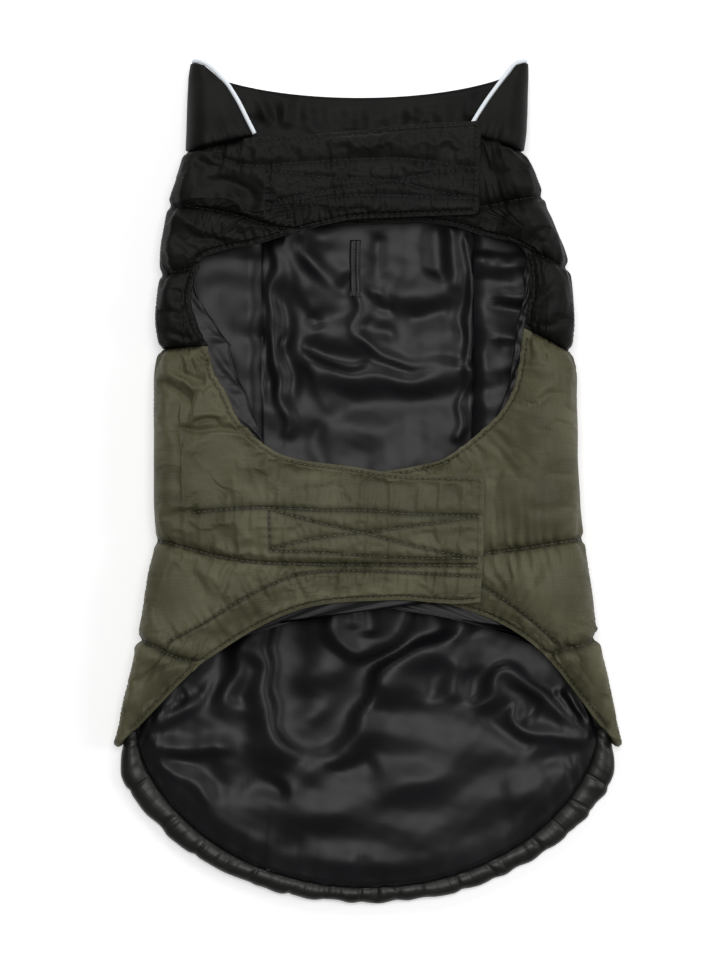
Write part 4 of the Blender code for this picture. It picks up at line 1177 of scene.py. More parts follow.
LINING_FOLDS = (
    # under the leg opening
    Fold(((-6.5, 103.0), (-6.2, 88.0), (-4.5, 77.0)), -1.2, 0.9, 0.0, 1.0, 0.3),
    Fold(((-34.0, 132.0), (-27.0, 117.0), (-15.0, 106.0), (-9.0, 99.0)), -3.4, 4.5, 0.3, 1.0),
    Fold(((-26.0, 134.0), (-18.0, 118.0), (-10.5, 110.0)), 2.4, 5.0, 0.0, 1.0),
    Fold(((-44.0, 130.0), (-36.0, 112.0), (-28.0, 98.0), (-20.0, 88.0)), 3.0, 7.0, 0.4, 1.0),
    Fold(((-53.0, 130.0), (-51.0, 111.0), (-54.5, 94.0), (-53.5, 80.0), (-50.5, 60.0),
          (-46.5, 28.0)), 3.2, 3.2, 0.2, 1.0, 0.6),
    Fold(((-62.0, 122.0), (-61.0, 100.0), (-64.0, 78.0), (-60.5, 40.0)), 2.6, 3.8, 0.0, 1.0, 0.6),
    Fold(((-57.5, 118.0), (-58.5, 96.0), (-57.5, 70.0), (-54.0, 40.0)), -1.8, 2.6),
    Fold(((-47.0, 112.0), (-47.5, 90.0), (-46.0, 70.0), (-41.0, 40.0)), -2.4, 3.6),
    Fold(((-62.5, 81.0), (-58.0, 80.0)), -1.8, 2.0),
    Fold(((-49.5, 80.5), (-43.0, 76.5)), -2.2, 2.2),
    Fold(((-30.0, 92.0), (-25.0, 84.0)), -1.8, 4.0),
    Fold(((-36.0, 76.0), (-25.0, 71.0), (-12.0, 66.0), (-1.0, 63.5)), -3.2, 3.2, 0.3),
    Fold(((-39.0, 74.0), (-27.0, 64.5), (-12.0, 60.0), (14.0, 56.5), (36.0, 59.0), (56.0, 61.5)),
         3.4, 4.2, -0.35, 0.3, 0.8),
    Fold(((-36.0, 72.0), (-30.0, 60.0), (-22.0, 46.0), (-13.0, 34.0)), 1.8, 4.0, 0.3),
    Fold(((-16.0, 50.0), (10.0, 45.5), (38.0, 47.5), (56.0, 50.0)), -2.6, 6.5, 0.0, 0.3, 1.0),
    Fold(((-8.0, 101.0), (-6.5, 88.0), (-3.0, 76.0), (5.0, 68.5), (24.0, 66.5), (56.0, 64.0)),
         1.9, 1.9, 0.0, 1.0, 0.8),
    Fold(((-3.0, 92.0), (2.0, 84.0), (14.0, 80.5), (20.0, 78.0)), -1.7, 3.0),
    Fold(((12.0, 108.0), (30.0, 104.0), (54.0, 108.0)), 1.8, 6.0, 0.0, 0.2, 0.8),
    Fold(((20.0, 91.0), (34.0, 92.5), (50.0, 95.0)), -2.0, 4.0),
    Fold(((36.0, 138.0), (38.0, 124.0), (33.0, 114.0)), -3.2, 4.0, 0.0, 1.0),
    Fold(((46.0, 136.0), (47.0, 120.0), (46.0, 104.0)), 2.0, 4.0, 0.0, 1.0),
    Fold(((6.0, 132.0), (4.0, 122.0), (8.0, 112.0), (20.0, 112.0)), 1.7, 3.6, 0.0, 1.0),
    Fold(((-2.0, 103.0), (4.0, 105.0), (12.0, 102.0)), 1.6, 2.2),
    Fold(((-1.0, 98.0), (8.0, 95.0), (16.0, 96.0)), -1.3, 2.0),
    Fold(((56.5, 132.0), (57.5, 100.0), (56.0, 70.0), (51.0, 26.0)), 1.8, 2.0, 0.0, 1.0, 1.0),
    Fold(((52.0, 118.0), (52.0, 92.0), (53.0, 74.0)), -1.6, 2.4),
    Fold(((-30.0, 36.0), (-27.0, 20.0), (-24.0, 4.0)), -1.8, 4.0, 0.0, 0.2, 1.0),
    Fold(((6.0, 36.0), (10.0, 18.0), (12.0, 0.0)), 1.2, 8.0, 0.0, 0.2, 1.0),
    Fold(((64.0, 128.0), (72.0, 118.0), (80.0, 104.0), (86.0, 96.0)), 3.0, 1.6),
    Fold(((63.0, 104.0), (70.0, 98.0), (80.0, 97.0), (90.0, 92.0)), -3.2, 1.8),
    Fold(((62.0, 92.0), (70.0, 84.0), (80.0, 80.0), (88.0, 84.0)), 3.4, 1.6),
    Fold(((66.0, 122.0), (66.5, 108.0), (64.0, 98.0)), -3.0, 1.6),
    Fold(((63.0, 86.0), (67.0, 76.0), (66.0, 60.0), (61.0, 40.0)), 3.0, 1.7),
    Fold(((71.0, 78.0), (74.0, 66.0), (71.0, 52.0), (65.0, 40.0)), -3.4, 2.0),
    Fold(((79.0, 76.0), (81.0, 66.0), (78.0, 54.0)), 2.4, 1.5),
    Fold(((84.0, 122.0), (82.0, 110.0), (87.0, 100.0)), -2.2, 1.6),
    Fold(((-66.0, 126.0), (-70.0, 104.0), (-71.0, 82.0), (-66.0, 56.0)), -1.4, 3.4, 0.0, 0.3, 0.6),
    Fold(((-84.0, 118.0), (-86.0, 98.0), (-80.0, 76.0)), -1.2, 3.0),
    # under the belly band and towards the tail
    Fold(((-56.0, -60.0), (-57.5, -90.0), (-58.7, -117.0), (-55.0, -140.0), (-45.0, -150.5),
          (-27.0, -152.5)), 5.0, 4.4, -0.35, 1.0),
    Fold(((-38.0, -60.0), (-44.0, -92.0), (-45.0, -120.0), (-40.0, -140.0)), -4.6, 9.0, 0.0, 1.0),
    Fold(((-20.0, -62.0), (-18.5, -82.0), (-10.0, -94.5), (2.0, -96.5), (12.0, -91.0),
          (20.0, -79.0), (24.0, -62.0)), 3.8, 3.6, 0.3, 1.0, 1.0),
    Fold(((0.5, -62.0), (0.0, -76.0), (-2.0, -86.0)), -3.4, 4.4, 0.0, 1.0),
    Fold(((-9.0, -66.0), (-10.0, -80.0)), 1.6, 2.4, 0.0, 1.0),
    Fold(((52.0, -88.0), (36.0, -92.5), (22.0, -99.0), (7.0, -112.0), (-3.5, -130.0),
          (-13.0, -146.0), (-28.0, -153.5)), 5.6, 4.6, 0.45, 0.3, 0.2),
    Fold(((24.0, -88.0), (10.0, -97.0), (-6.0, -112.0), (-16.0, -132.0), (-20.0, -147.0)),
         -4.6, 5.4, 0.0, 0.4, 0.5),
    Fold(((33.0, -62.0), (35.0, -78.0), (38.0, -88.0)), -4.2, 5.4, 0.0, 1.0),
    Fold(((44.0, -66.0), (50.0, -80.0), (56.0, -90.0)), 2.6, 4.5, 0.0, 1.0),
    Fold(((-6.0, -128.0), (3.0, -120.0), (8.0, -132.0)), -1.8, 3.2),
    Fold(((-66.0, -72.0), (-69.0, -92.0), (-74.0, -112.0), (-84.0, -132.0)), 3.6, 4.4, 0.3, 1.0),
    Fold(((-64.0, -96.0), (-66.5, -112.0), (-71.0, -128.0)), -2.6, 4.0),
    Fold(((-78.0, -84.0), (-84.0, -100.0), (-92.0, -114.0), (-100.0, -124.0)), -3.4, 4.4, 0.0, 1.0),
    Fold(((-126.0, -140.0), (-108.0, -131.5), (-94.0, -121.0), (-84.0, -104.0)), 3.2, 3.0, 0.3),
    Fold(((-112.0, -128.0), (-106.0, -122.0), (-101.0, -115.0)), -2.0, 2.0),
    Fold(((-118.0, -134.0), (-110.0, -124.0), (-103.0, -119.0)), 1.8, 1.8),
    Fold(((-127.0, -144.0), (-112.0, -150.0), (-92.0, -150.5), (-66.0, -145.0)), 3.0, 3.4, 0.35),
    Fold(((-118.0, -154.0), (-100.0, -156.5), (-80.0, -154.0)), -1.8, 3.4),
    Fold(((-124.0, -151.0), (-106.0, -163.0), (-92.0, -173.5), (-84.0, -188.0)), 2.4, 3.6, 0.3),
    Fold(((-112.0, -160.0), (-98.0, -160.0), (-84.0, -168.0), (-76.0, -178.0)), -1.7, 4.0),
    Fold(((8.0, -152.0), (-2.0, -157.5), (-14.0, -161.5), (-24.0, -167.0)), -3.2, 4.2, 0.3),
    Fold(((-70.0, -166.0), (-58.0, -172.0), (-46.0, -176.0)), -2.2, 4.4),
    Fold(((-54.0, -174.0), (-40.0, -168.0), (-24.0, -158.0)), 2.0, 4.2),
    Fold(((-70.0, -187.0), (-36.0, -186.0), (4.0, -175.0), (36.0, -162.0), (64.0, -155.0)),
         2.4, 8.0, 0.3),
    Fold(((-56.0, -198.0), (-44.0, -203.0), (-32.0, -204.0)), -1.7, 4.6),
    Fold(((0.5, -206.0), (-1.5, -214.0), (2.0, -221.0)), -1.8, 1.8, 0.0, 0.2, 1.0),
    Fold(((30.0, -99.0), (36.0, -108.0), (40.0, -122.0)), -2.6, 4.6),
    Fold(((46.0, -96.0), (50.0, -108.0), (56.0, -124.0)), 2.2, 4.0),
    Fold(((58.0, -102.0), (60.0, -114.0), (63.0, -124.0)), -2.4, 3.6),
    Fold(((62.0, -134.0), (67.0, -118.0), (74.0, -107.0), (84.0, -107.0), (96.0, -119.0),
          (110.0, -133.0), (120.0, -141.0)), 4.2, 3.2, -0.3, 0.2, 0.4),
    Fold(((78.0, -112.0), (84.0, -122.0), (96.0, -131.0)), -3.0, 4.4),
    Fold(((77.0, -114.0), (80.0, -127.0), (88.0, -137.0), (104.0, -143.0), (126.0, -146.5)),
         3.0, 2.6, 0.3),
    Fold(((66.0, -122.0), (70.0, -134.0), (80.0, -142.0), (96.0, -148.0)), -2.2, 3.6),
    Fold(((104.0, -118.0), (112.0, -124.0), (118.0, -134.0)), 2.2, 2.2),
    Fold(((108.0, -116.0), (116.0, -122.0), (123.0, -134.0)), -1.8, 2.0),
    Fold(((126.0, -150.0), (108.0, -155.0), (88.0, -156.0)), -1.6, 3.6),
    Fold(((112.0, -160.0), (92.0, -170.0), (70.0, -176.0)), 1.4, 6.0),
    Fold(((88.0, -184.0), (60.0, -196.0), (36.0, -206.0)), -1.2, 6.0),
)


# how far the facing shows past each side's leg opening, as places along the coat and reach
FACING_REACH = {
    -1: ((-150.0, 18.0, 24.0, 32.0, 46.0, 60.0, 76.0, 88.0, 100.0, 112.0, 200.0),
         (0.3, 0.3, 4.0, 9.5, 11.5, 12.5, 13.0, 11.0, 6.0, 1.0, 0.3)),
    1: ((-150.0, 30.0, 44.0, 60.0, 84.0, 100.0, 112.0, 126.0, 200.0),
        (0.3, 0.3, 4.0, 5.0, 5.5, 4.0, 5.0, 0.5, 0.3)),
}


def lining_height(x: np.ndarray, y: np.ndarray) -> np.ndarray:
    """How far the lining's loose folds stand over the padding at each place."""
    lift = 0.9 * plane_noise(x / 56.0, y / 40.0, 5) + 0.10 * plane_noise(x / 13.0, y / 11.0, 6)
    aside, along = plane_noise(x / 60.0, y / 34.0, 7), plane_noise(x / 36.0, y / 60.0, 8)
    x, y = x + 2.6 * aside, y + 2.0 * along
    for fold in LINING_FOLDS:
        lift += replace(fold, width=1.45 * fold.width, height=0.95 * fold.height).lift(x, y)
    return 4.0 + np.where(lift > 0, 9.0 * np.tanh(lift / 9.0), 4.0 * np.tanh(lift / 4.0))


def at_side_seam(distance: np.ndarray) -> tuple[np.ndarray, np.ndarray]:
    """The share of the folds left near a side seam, and the seam's own small groove."""
    return 0.9 + 0.1 * ease(distance / 14.0), 0.12 * np.exp(-((distance / 1.2) ** 2))


@dataclass
class Lining:
    """The satin that shows inside the leg opening and under the tail."""

    thickness: float = 0.5
    rows: int = 190
    columns: int = 120
    hem_overlap: float = 0.6
    under_flank: float = 0.7  # how far its side edges dip under the flanks' linings
    over_back: float = 1.1  # how far the flanks' linings reach over it
    hidden_inset: float = 2.6  # from a flank's free edge, where no facing shows

    def back_points(self) -> np.ndarray:
        """The back lining laid flat: straight rows that round gradually into the tail."""
        stations = np.array(BACK_ROWS)
        stations[-1, 1] += self.hem_overlap
        steps = np.abs(np.diff(stations[:, 0] - 0.9 * stations[:, 1]))
        reach = np.concatenate([[0.0], np.cumsum(steps)])
        place = np.linspace(0.0, reach[-1], self.rows)
        y = np.interp(place, reach, stations[:, 0])
        sag = np.interp(place, reach, stations[:, 1])
        turn = np.linspace(0.0, 1.0, self.columns)
        points = np.zeros((self.rows, self.columns, 3))
        for index in range(self.rows):
            points[index, :, :2] = back_row(y[index], sag[index], turn)
        points[:, :, 2] = LINING_Z + self.thickness
        return points

    def build_back(self, material: bpy.types.Material) -> bpy.types.Object:
        """The back lining with its folds, as one thin closed sheet."""
        points = self.back_points()
        uv = points[:, :, :2] * MM
        x, y = points[:, :, 0], points[:, :, 1]
        end = np.linalg.norm(points[:, :, :2] - points[-1:, :, :2], axis=-1)
        side = np.minimum(
            np.linalg.norm(points[:, :, :2] - points[:, :1, :2], axis=-1),
            np.linalg.norm(points[:, :, :2] - points[:, -1:, :2], axis=-1),
        )
        loose, groove = at_side_seam(side)
        held = (0.3 + 0.7 * ease(end / 16.0)) * ease(end / 2.5)
        lift = (lining_height(x, y) * loose - groove) * held
        steps = np.linalg.norm(np.diff(points[-1], axis=0), axis=1)
        run = np.concatenate([[0.0], np.cumsum(steps)])
        fade = np.exp(-end / (13.0 + 6.0 * smooth_noise(run / 17.0, 72)))
        gather = smooth_noise(run / 14.0, 71) * fade
        gather += 0.5 * smooth_noise(run / 6.0, 73) * np.exp(-end / 6.0)
        lift += 1.1 * (gather + 0.6 * np.exp(-end / 9.0)) * ease(end / 2.0)
        points[:, :, 2] += lift - self.under_flank * (1.0 - ease(side / 2.6))
        grid = Grid(points, uv, np.zeros(x.shape))
        inner = points - np.array([0.0, 0.0, self.thickness])
        piece = wall("back_lining_satin", grid, inner, -1.0, material, 0.2)
        return piece

    def inside_edge(self, flank: Flank, start: int) -> list[np.ndarray]:
        """Every other row and column of a flank's base, with the rows ending inside its free edge.

        Args:
            flank: the flank, already built.
            start: the first row to take.

        Returns:
            The points, edge distance, wall depth, share underneath and outward directions.
        """
        base = flank.base
        first = flank.back_steps + 2 * flank.fold_steps
        columns = np.arange(0, base.points.shape[1], 2)
        layers = [
            base.points, base.edge_distance[:, :, None], flank.wall_depth(base)[:, :, None],
            base.under[:, :, None], flank.outward(base),
        ]
        found = [[] for _ in layers]
        for row in range(start, len(base.points), 2):
            edge = base.edge_distance[row]
            reach = np.interp(base.points[row, -1, 1], *FACING_REACH[flank.side])
            inset = self.hidden_inset - 2.0 * float(ease((reach - 0.3) / 2.0))
            clear = np.nonzero(edge >= inset)[0]
            last = min(max(int(clear[-1]), first + 4), len(edge) - 2)
            fall = max(edge[last] - edge[last + 1], 1e-6)
            last = last + float(np.clip((edge[last] - inset) / fall, 0.0, 1.0))
            place = np.where(
                columns <= first, columns,
                first + (columns - first) * (last - first) / (columns[-1] - first),
            )
            low = np.minimum(place.astype(int), len(edge) - 2)
            share = (place - low)[:, None]
            for values, layer in zip(found, layers):
                values.append(layer[row, low] * (1.0 - share) + layer[row, low + 1] * share)
        return [np.array(values) for values in found]

    def build_flank(
        self, name: str, flanks: tuple[Flank, Flank], material: bpy.types.Material
    ) -> bpy.types.Object:
        """A flank's lining: the inside of both its panels, with soft crumples, and painted shade
        over the right lining's crumpled part and along the facing strips.

        Args:
            name: the piece's name.
            flanks: the upper and the lower flank of that side, already built.
            material: the satin.

        Returns:
            The new object.
        """
        upper, lower = flanks
        sign = float(upper.side)
        parts = [self.inside_edge(flank, start) for flank, start in ((upper, 0), (lower, 1))]
        points, edge, depth, under_share, normals = (np.concatenate(both) for both in zip(*parts))
        edge, depth, under_share = edge[:, :, 0], depth[:, :, 0], under_share[:, :, 0]
        x, y = points[:, :, 0], points[:, :, 1]
        crumple = 1.1 * plane_noise(x / 24.0, y / 13.0, 17 + upper.side)
        crumple += 0.5 * plane_noise(x / 9.0, y / 6.0, 27 + upper.side)
        crumple = np.maximum(crumple + 1.4, 0.0) * ease(edge / 10.0)
        crush_and_painted_shade = 0.5 + plane_noise(x / 19.0 + y / 70.0, y / 24.0, 33)
        shown = ease((y - 24.0) / 12.0) * ease((134.0 - y) / 12.0) * (upper.side > 0)
        crush_and_painted_shade = 1.9 * np.maximum(crush_and_painted_shade, 0.0) * shown
        seam = np.linalg.norm(points[:, :, :2] - points[:, :1, :2], axis=-1)
        loose, groove = at_side_seam(seam)
        laid = lining_height(x, y) * loose - groove
        lift = (laid + crush_and_painted_shade) * under_share + crumple * (1.0 - under_share)
        lift = np.minimum(depth + 0.9 + lift, 0.52 * coat_height(y))
        under = points - normals * lift[:, :, None]
        inner = under - normals * self.thickness
        under, inner, uv = under[:-3], inner[:-3], flat_lengths(points)[:-3]
        for layer in (under, inner):
            layer[:, 0, 0] -= self.over_back * sign
        reach = np.interp(under[:, -1, 1], *FACING_REACH[upper.side])
        aside = under[:, -1] - under[:, -4]
        aside[:, 2] = 0.0
        aside = unit(aside)
        steps = np.arange(1, 8) / 7.0
        ripple = 2.0 * plane_noise(under[:, -1:, 1] / 6.0, steps[None, :] * 0.9, 81)
        past = reach[:, None] * steps
        ripple *= ease(reach[:, None] / 4.0) * np.sin(0.9 * np.pi * steps)
        drop = 0.9 * steps + 0.55 * ripple
        layers = []
        for layer in (under, inner):
            added = layer[:, -1:] + aside[:, None] * past[:, :, None]
            added[:, :, 2] -= drop
            layers.append(np.concatenate([layer, added], axis=1))
        wide_under, wide_inner = layers
        more = uv[:, -1:] + np.stack([past * MM, np.zeros(past.shape)], -1)
        uv = np.concatenate([uv, more], axis=1)
        # Painted shade: the crumpled part of the right lining a little darker, the facing strip
        # past each leg opening darker still.
        shade = np.zeros(uv.shape[:2])
        shade[:, : shown.shape[1]] = 0.28 * shown[:-3]
        shade[:, -8:] = 0.55
        shade[:, -4:-2] = 0.75
        grid = Grid(wide_under, uv, shade)
        piece = wall(name, grid, wide_inner, sign, material, 0.2)
        return piece


@dataclass
class BackPanels:
    """The padded panels under the dog's back, resting flat on the ground."""

    quilt_y: tuple[float, ...] = (153.0, 114.0, -33.0, -89.0)
    columns: int = 60
    neck_scoop: float = 5.0
    pressing_and_painted_shade: float = 1.5

    def build(
        self, name: str, span: tuple[float, float], count: int, material: bpy.types.Material
    ) -> bpy.types.Object:
        """One panel, with its quilting pushed up into the underside and painted shade along its
        quilting.

        Args:
            name: the piece's name.
            span: places of its first and last row along the side seam.
            count: how many rows it has.
            material: the shell cloth.

        Returns:
            The new object.
        """
        turn = np.linspace(0.0, 1.0, self.columns)
        points = np.zeros((count, self.columns, 3))
        place = np.linspace(*span, count)
        known = np.array(BACK_ROWS[::-1])
        for index, y in enumerate(place):
            flat = back_row(y, np.interp(y, *known.T), turn)
            neck = self.neck_scoop * (1.0 - (flat[:, 0] / SIDE_SEAM_X) ** 2)
            points[index, :, 0] = flat[:, 0]
            points[index, :, 1] = flat[:, 1] - neck * (y > NECK_SEAM_Y - NECK_DROP - 0.5)
        quilt = np.zeros(points.shape[:2])
        for y in (*self.quilt_y, span[0], span[1]):
            quilt = np.maximum(quilt, np.exp(-(((place - y) / 2.6) ** 2))[:, None])
        ripple = smooth_noise(points[:, :, 0] / 7.0 + 3.1, 41)
        points[:, :, 2] = quilt * (self.pressing_and_painted_shade + 0.4 * ripple)
        uv = flat_lengths(points)
        inner = points.copy()
        inner[:, :, 2] = LINING_Z - 0.6
        # Painted shade along the quilting and the panel's end rows.
        grid = Grid(points, uv, quilt * 0.8)
        piece = wall(name, grid, inner, 1.0, material, 0.3)
        return piece


FACING_FOLDS = (
    Fold(((-66.0, 222.0), (-57.0, 208.0), (-55.0, 196.0)), 1.4, 3.0),
    Fold(((-60.0, 216.0), (-48.0, 200.0)), -1.2, 2.6),
    Fold(((-40.0, 214.0), (-46.0, 206.0), (-50.0, 200.0)), 1.1, 2.4),
    Fold(((20.0, 208.0), (30.0, 202.0), (40.0, 196.0)), 0.9, 2.6),
    Fold(((46.0, 214.0), (38.0, 206.0), (44.0, 200.0)), -0.8, 2.6),
    Fold(((60.0, 220.0), (56.0, 208.0), (58.0, 200.0)), 1.0, 2.6),
)


@dataclass
class Collar:
    """The stand collar laid flat: two side folds, a scooped back and slanting piped fronts."""

    rings: int = 34
    fold_steps: int = 12
    front_steps: int = 22
    back_columns: int = 84
    pad: float = 4.2
    pad_at_top: float = 2.6
    peak_y: float = 231.6
    edge_y: float = 211.0
    seam_gap: float = 0.5
    top_reach: float = 8.0  # of the side folds at the collar's top
    neck_scoop: float = 5.0
    middle: np.ndarray | None = field(default=None, init=False)
    # each ring: left front edge, left outline, right outline and right front edge
    table: tuple[tuple[Point, Point, Point, Point], ...] = (
        ((-64.2, 190.8), (-101.0, 183.0), (87.0, 183.0), (57.0, 192.0)),
        ((-68.5, 199.5), (-100.6, 192.5), (88.2, 193.5), (62.0, 201.0)),
        ((-73.0, 209.0), (-100.3, 203.0), (88.8, 204.0), (68.5, 211.5)),
        ((-79.4, 219.5), (-100.0, 214.0), (89.0, 214.0), (75.0, 220.5)),
        ((-85.0, 225.5), (-99.6, 224.0), (89.4, 223.5), (79.5, 226.5)),
        ((-91.0, 230.6), (-98.6, 231.6), (89.6, 231.6), (82.5, 230.8)),
    )

    def side(self, outline: np.ndarray, edge: np.ndarray, side: int, reach: float) -> np.ndarray:
        """Half a ring, from the back round the side fold to the front edge."""
        height = float(coat_height(outline[1]))
        length = np.linalg.norm(edge - outline)
        front_reach = min(reach, 0.95 * length)
        angle = 0.5 * np.pi * np.arange(self.fold_steps + 1) / self.fold_steps
        low = np.column_stack([
            outline[0] - side * reach * (1.0 - np.sin(angle)),
            np.full(len(angle), outline[1]),
            0.5 * height * (1.0 - np.cos(angle)),
        ])
        angle = angle[1:]
        share = front_reach * (1.0 - np.cos(angle)) / length
        high = outline + (edge - outline) * share[:, None]
        level = 0.5 * self.top(high[:, 0], side, height) * (1.0 + np.sin(angle))
        high = np.column_stack([high, level])
        start = front_reach / length
        share = start + (1.0 - start) * np.arange(1, self.front_steps + 1) / self.front_steps
        front = outline + (edge - outline) * share[:, None]
        front = np.column_stack([front, self.top(front[:, 0], side, height)])
        return np.vstack([low, high, front])

    def top(self, x: np.ndarray, side: int, height: float) -> np.ndarray:
        """Height of the collar's front, which dips on the right so the strap can cross it."""
        if side < 0:
            return np.full(np.shape(x), height)
        start, width = RIGHT_STRAP_STEP
        return height - STRAP_RISE * ease((start - x) / width)

    def grid(self) -> np.ndarray:
        """Outer points of the band: a row for each ring, from left front edge to right."""
        stations = np.array(self.table).reshape(len(self.table), 8)
        place = np.linspace(0.0, len(self.table) - 1.0, self.rings)
        known = np.arange(len(self.table))
        measures = np.stack([np.interp(place, known, stations[:, k]) for k in range(8)], -1)
        rows = []
        for share, row in zip(place / place[-1], measures):
            reach = FOLD_REACH + (self.top_reach - FOLD_REACH) * share
            height = float(coat_height(row[3]))
            left = self.side(row[2:4], row[0:2], -1, reach)
            right = self.side(row[4:6], row[6:8], 1, reach)
            steps = np.arange(1, self.back_columns) / self.back_columns
            x = left[0, 0] + (right[0, 0] - left[0, 0]) * steps
            back = np.column_stack([x, np.zeros(len(x)), np.zeros(len(x))])
            line = np.vstack([left[::-1], back, right])
            low = line[:, 2] < 0.5 * height
            settled = self.back_y(line[:, 0], row, share)
            weight = np.clip(line[:, 2] / (0.5 * height), 0.0, 1.0)
            line[:, 1] = np.where(low, settled + (line[:, 1] - settled) * weight, line[:, 1])
            line[:, 1] += self.seam_gap
            rows.append(line)
        return np.array(rows)

    def back_y(self, x: np.ndarray, row: np.ndarray, share: float) -> np.ndarray:
        """Where a ring crosses the back: the neckline below, the scooped top edge above."""
        left_x, left_y, right_x, right_y = row[2], row[3], row[4], row[5]
        middle = 0.5 * (left_x + right_x)
        half = 0.5 * (right_x - left_x)
        side_y = left_y + (right_y - left_y) * np.clip((x - left_x) / (right_x - left_x), 0, 1)
        hollow = np.maximum(1.0 - ((x - middle) / half) ** 2, 0.0) ** 0.6
        scooped = side_y - (self.peak_y - self.edge_y) * hollow
        outline_x = np.where(x < 0, abs(left_x), abs(right_x))
        away = np.clip((np.abs(x) - SIDE_SEAM_X) / (outline_x - SIDE_SEAM_X), 0.0, 1.0)
        scoop = self.neck_scoop * np.maximum(1.0 - (x / SIDE_SEAM_X) ** 2, 0.0)
        at_side = NECK_SEAM_Y - NECK_DROP
        seam = np.where(np.abs(x) < SIDE_SEAM_X, at_side - scoop, at_side + NECK_DROP * away)
        return seam + (scooped - seam) * share

    def build(
        self, shell: bpy.types.Material, facing: bpy.types.Material
    ) -> tuple[bpy.types.Object, bpy.types.Object]:
        """The padded collar and its facing, which shows across the back."""
        points = self.grid()
        uv = flat_lengths(points)
        normals = Grid(points, uv, np.zeros(points.shape[:2])).normals(-1.0, 2)
        share = np.linspace(0.0, 1.0, self.rings)[:, None]
        pad = np.broadcast_to(self.pad + (self.pad_at_top - self.pad) * share, points.shape[:2])
        seam = np.linalg.norm(points - points[:1], axis=-1)
        top_edge = np.linalg.norm(points - points[-1:], axis=-1)
        runs = np.linalg.norm(np.diff(points, axis=1), axis=-1)
        along = np.concatenate([np.zeros((self.rings, 1)), np.cumsum(runs, axis=1)], axis=1)
        front_edge = np.minimum(along, along[:, -1:] - along)
        edge = np.minimum(top_edge, front_edge)
        level = np.clip(points[:, :, 2] / coat_height(points[:, :, 1]), 0.0, 1.0)
        swell = (1.0 - np.exp(-seam / 6.0)) * (1.0 - np.exp(-edge / 5.0)) * ease(level * 1.6)
        x, y = points[:, :, 0], points[:, :, 1]
        lift = 1.5 * swell + 0.6 * swell * plane_noise(x / 19.0, y / 26.0, 51)
        lift += 0.5 * smooth_noise(along / 6.0, 52) * np.exp(-seam / 5.0) * ease(level * 2)
        lift = lift * (1.0 - 0.85 * np.abs(normals[:, :, 0]))
        outer = points + normals * lift[:, :, None]
        outer[:, :, 2] = np.maximum(outer[:, :, 2], 0.0)
        inner = points - normals * pad[:, :, None]
        inner[:, :, 2] = np.maximum(inner[:, :, 2], 0.3)
        # Painted shade along the collar seam, on the shell and, fainter, on the facing.
        shade = np.exp(-((seam / 1.6) ** 2)) * 0.8
        collar = wall("collar_shell", Grid(outer, uv, shade), inner, -1.0, shell)
        start = points - normals * (pad + 0.4)[:, :, None]
        crumple = 1.2 + 0.9 * plane_noise(x / 17.0, y / 13.0, 53)
        for fold in FACING_FOLDS:
            crumple = crumple + 1.9 * fold.lift(x, y) * (level < 0.3)
        crumple = np.maximum(crumple, 0.0) * (1.0 - np.exp(-edge / 5.0))
        lined = start - normals * crumple[:, :, None]
        over = lined[-1] - lined[-2]
        over[:, 2] = 0.0
        lined[-1] += unit(over) * (2.3 * ease(1.4 - 3.0 * level[-1]))[:, None]
        lined[:, :, 2] = np.maximum(lined[:, :, 2], 1.2)
        face = Grid(lined, uv, np.exp(-((seam / 1.6) ** 2)) * 0.5)
        inside = wall("collar_facing_cloth", face, lined + normals * 0.4, 1.0, facing, 0.2)
        self.middle = points - normals * (0.5 * pad)[:, :, None]
        return collar, inside

    def piping_path(self, standoff: float) -> np.ndarray:
        """The route of the piping, just off the collar's free edge."""
        lines = self.middle[:-1]
        top = self.middle[-1]
        edge = np.vstack([lines[:, 0], top, lines[::-1, -1]])
        inside = np.vstack([lines[:, 1], lines[-1], lines[::-1, -2]])
        kept = [0]
        for index in range(1, len(edge)):
            if np.linalg.norm(edge[index] - edge[kept[-1]]) > 1.2:
                kept.append(index)
        edge, inside = edge[kept], inside[kept]
        tangent = np.gradient(edge, axis=0)
        away = edge - inside
        share = np.einsum("ij,ij->i", away, tangent) / np.einsum("ij,ij->i", tangent, tangent)
        away -= tangent * share[:, None]
        away /= np.linalg.norm(away, axis=1, keepdims=True)
        tucked = ease(1.4 - 3.0 * edge[:, 2] / coat_height(edge[:, 1]))
        route = edge + away * (standoff * (1.0 - tucked) - 0.2 * tucked)[:, None]
        route[:, 2] += (1.3 - route[:, 2]) * tucked
        for _ in range(3):
            route[1:-1] = 0.25 * route[:-2] + 0.5 * route[1:-1] + 0.25 * route[2:]
        return route


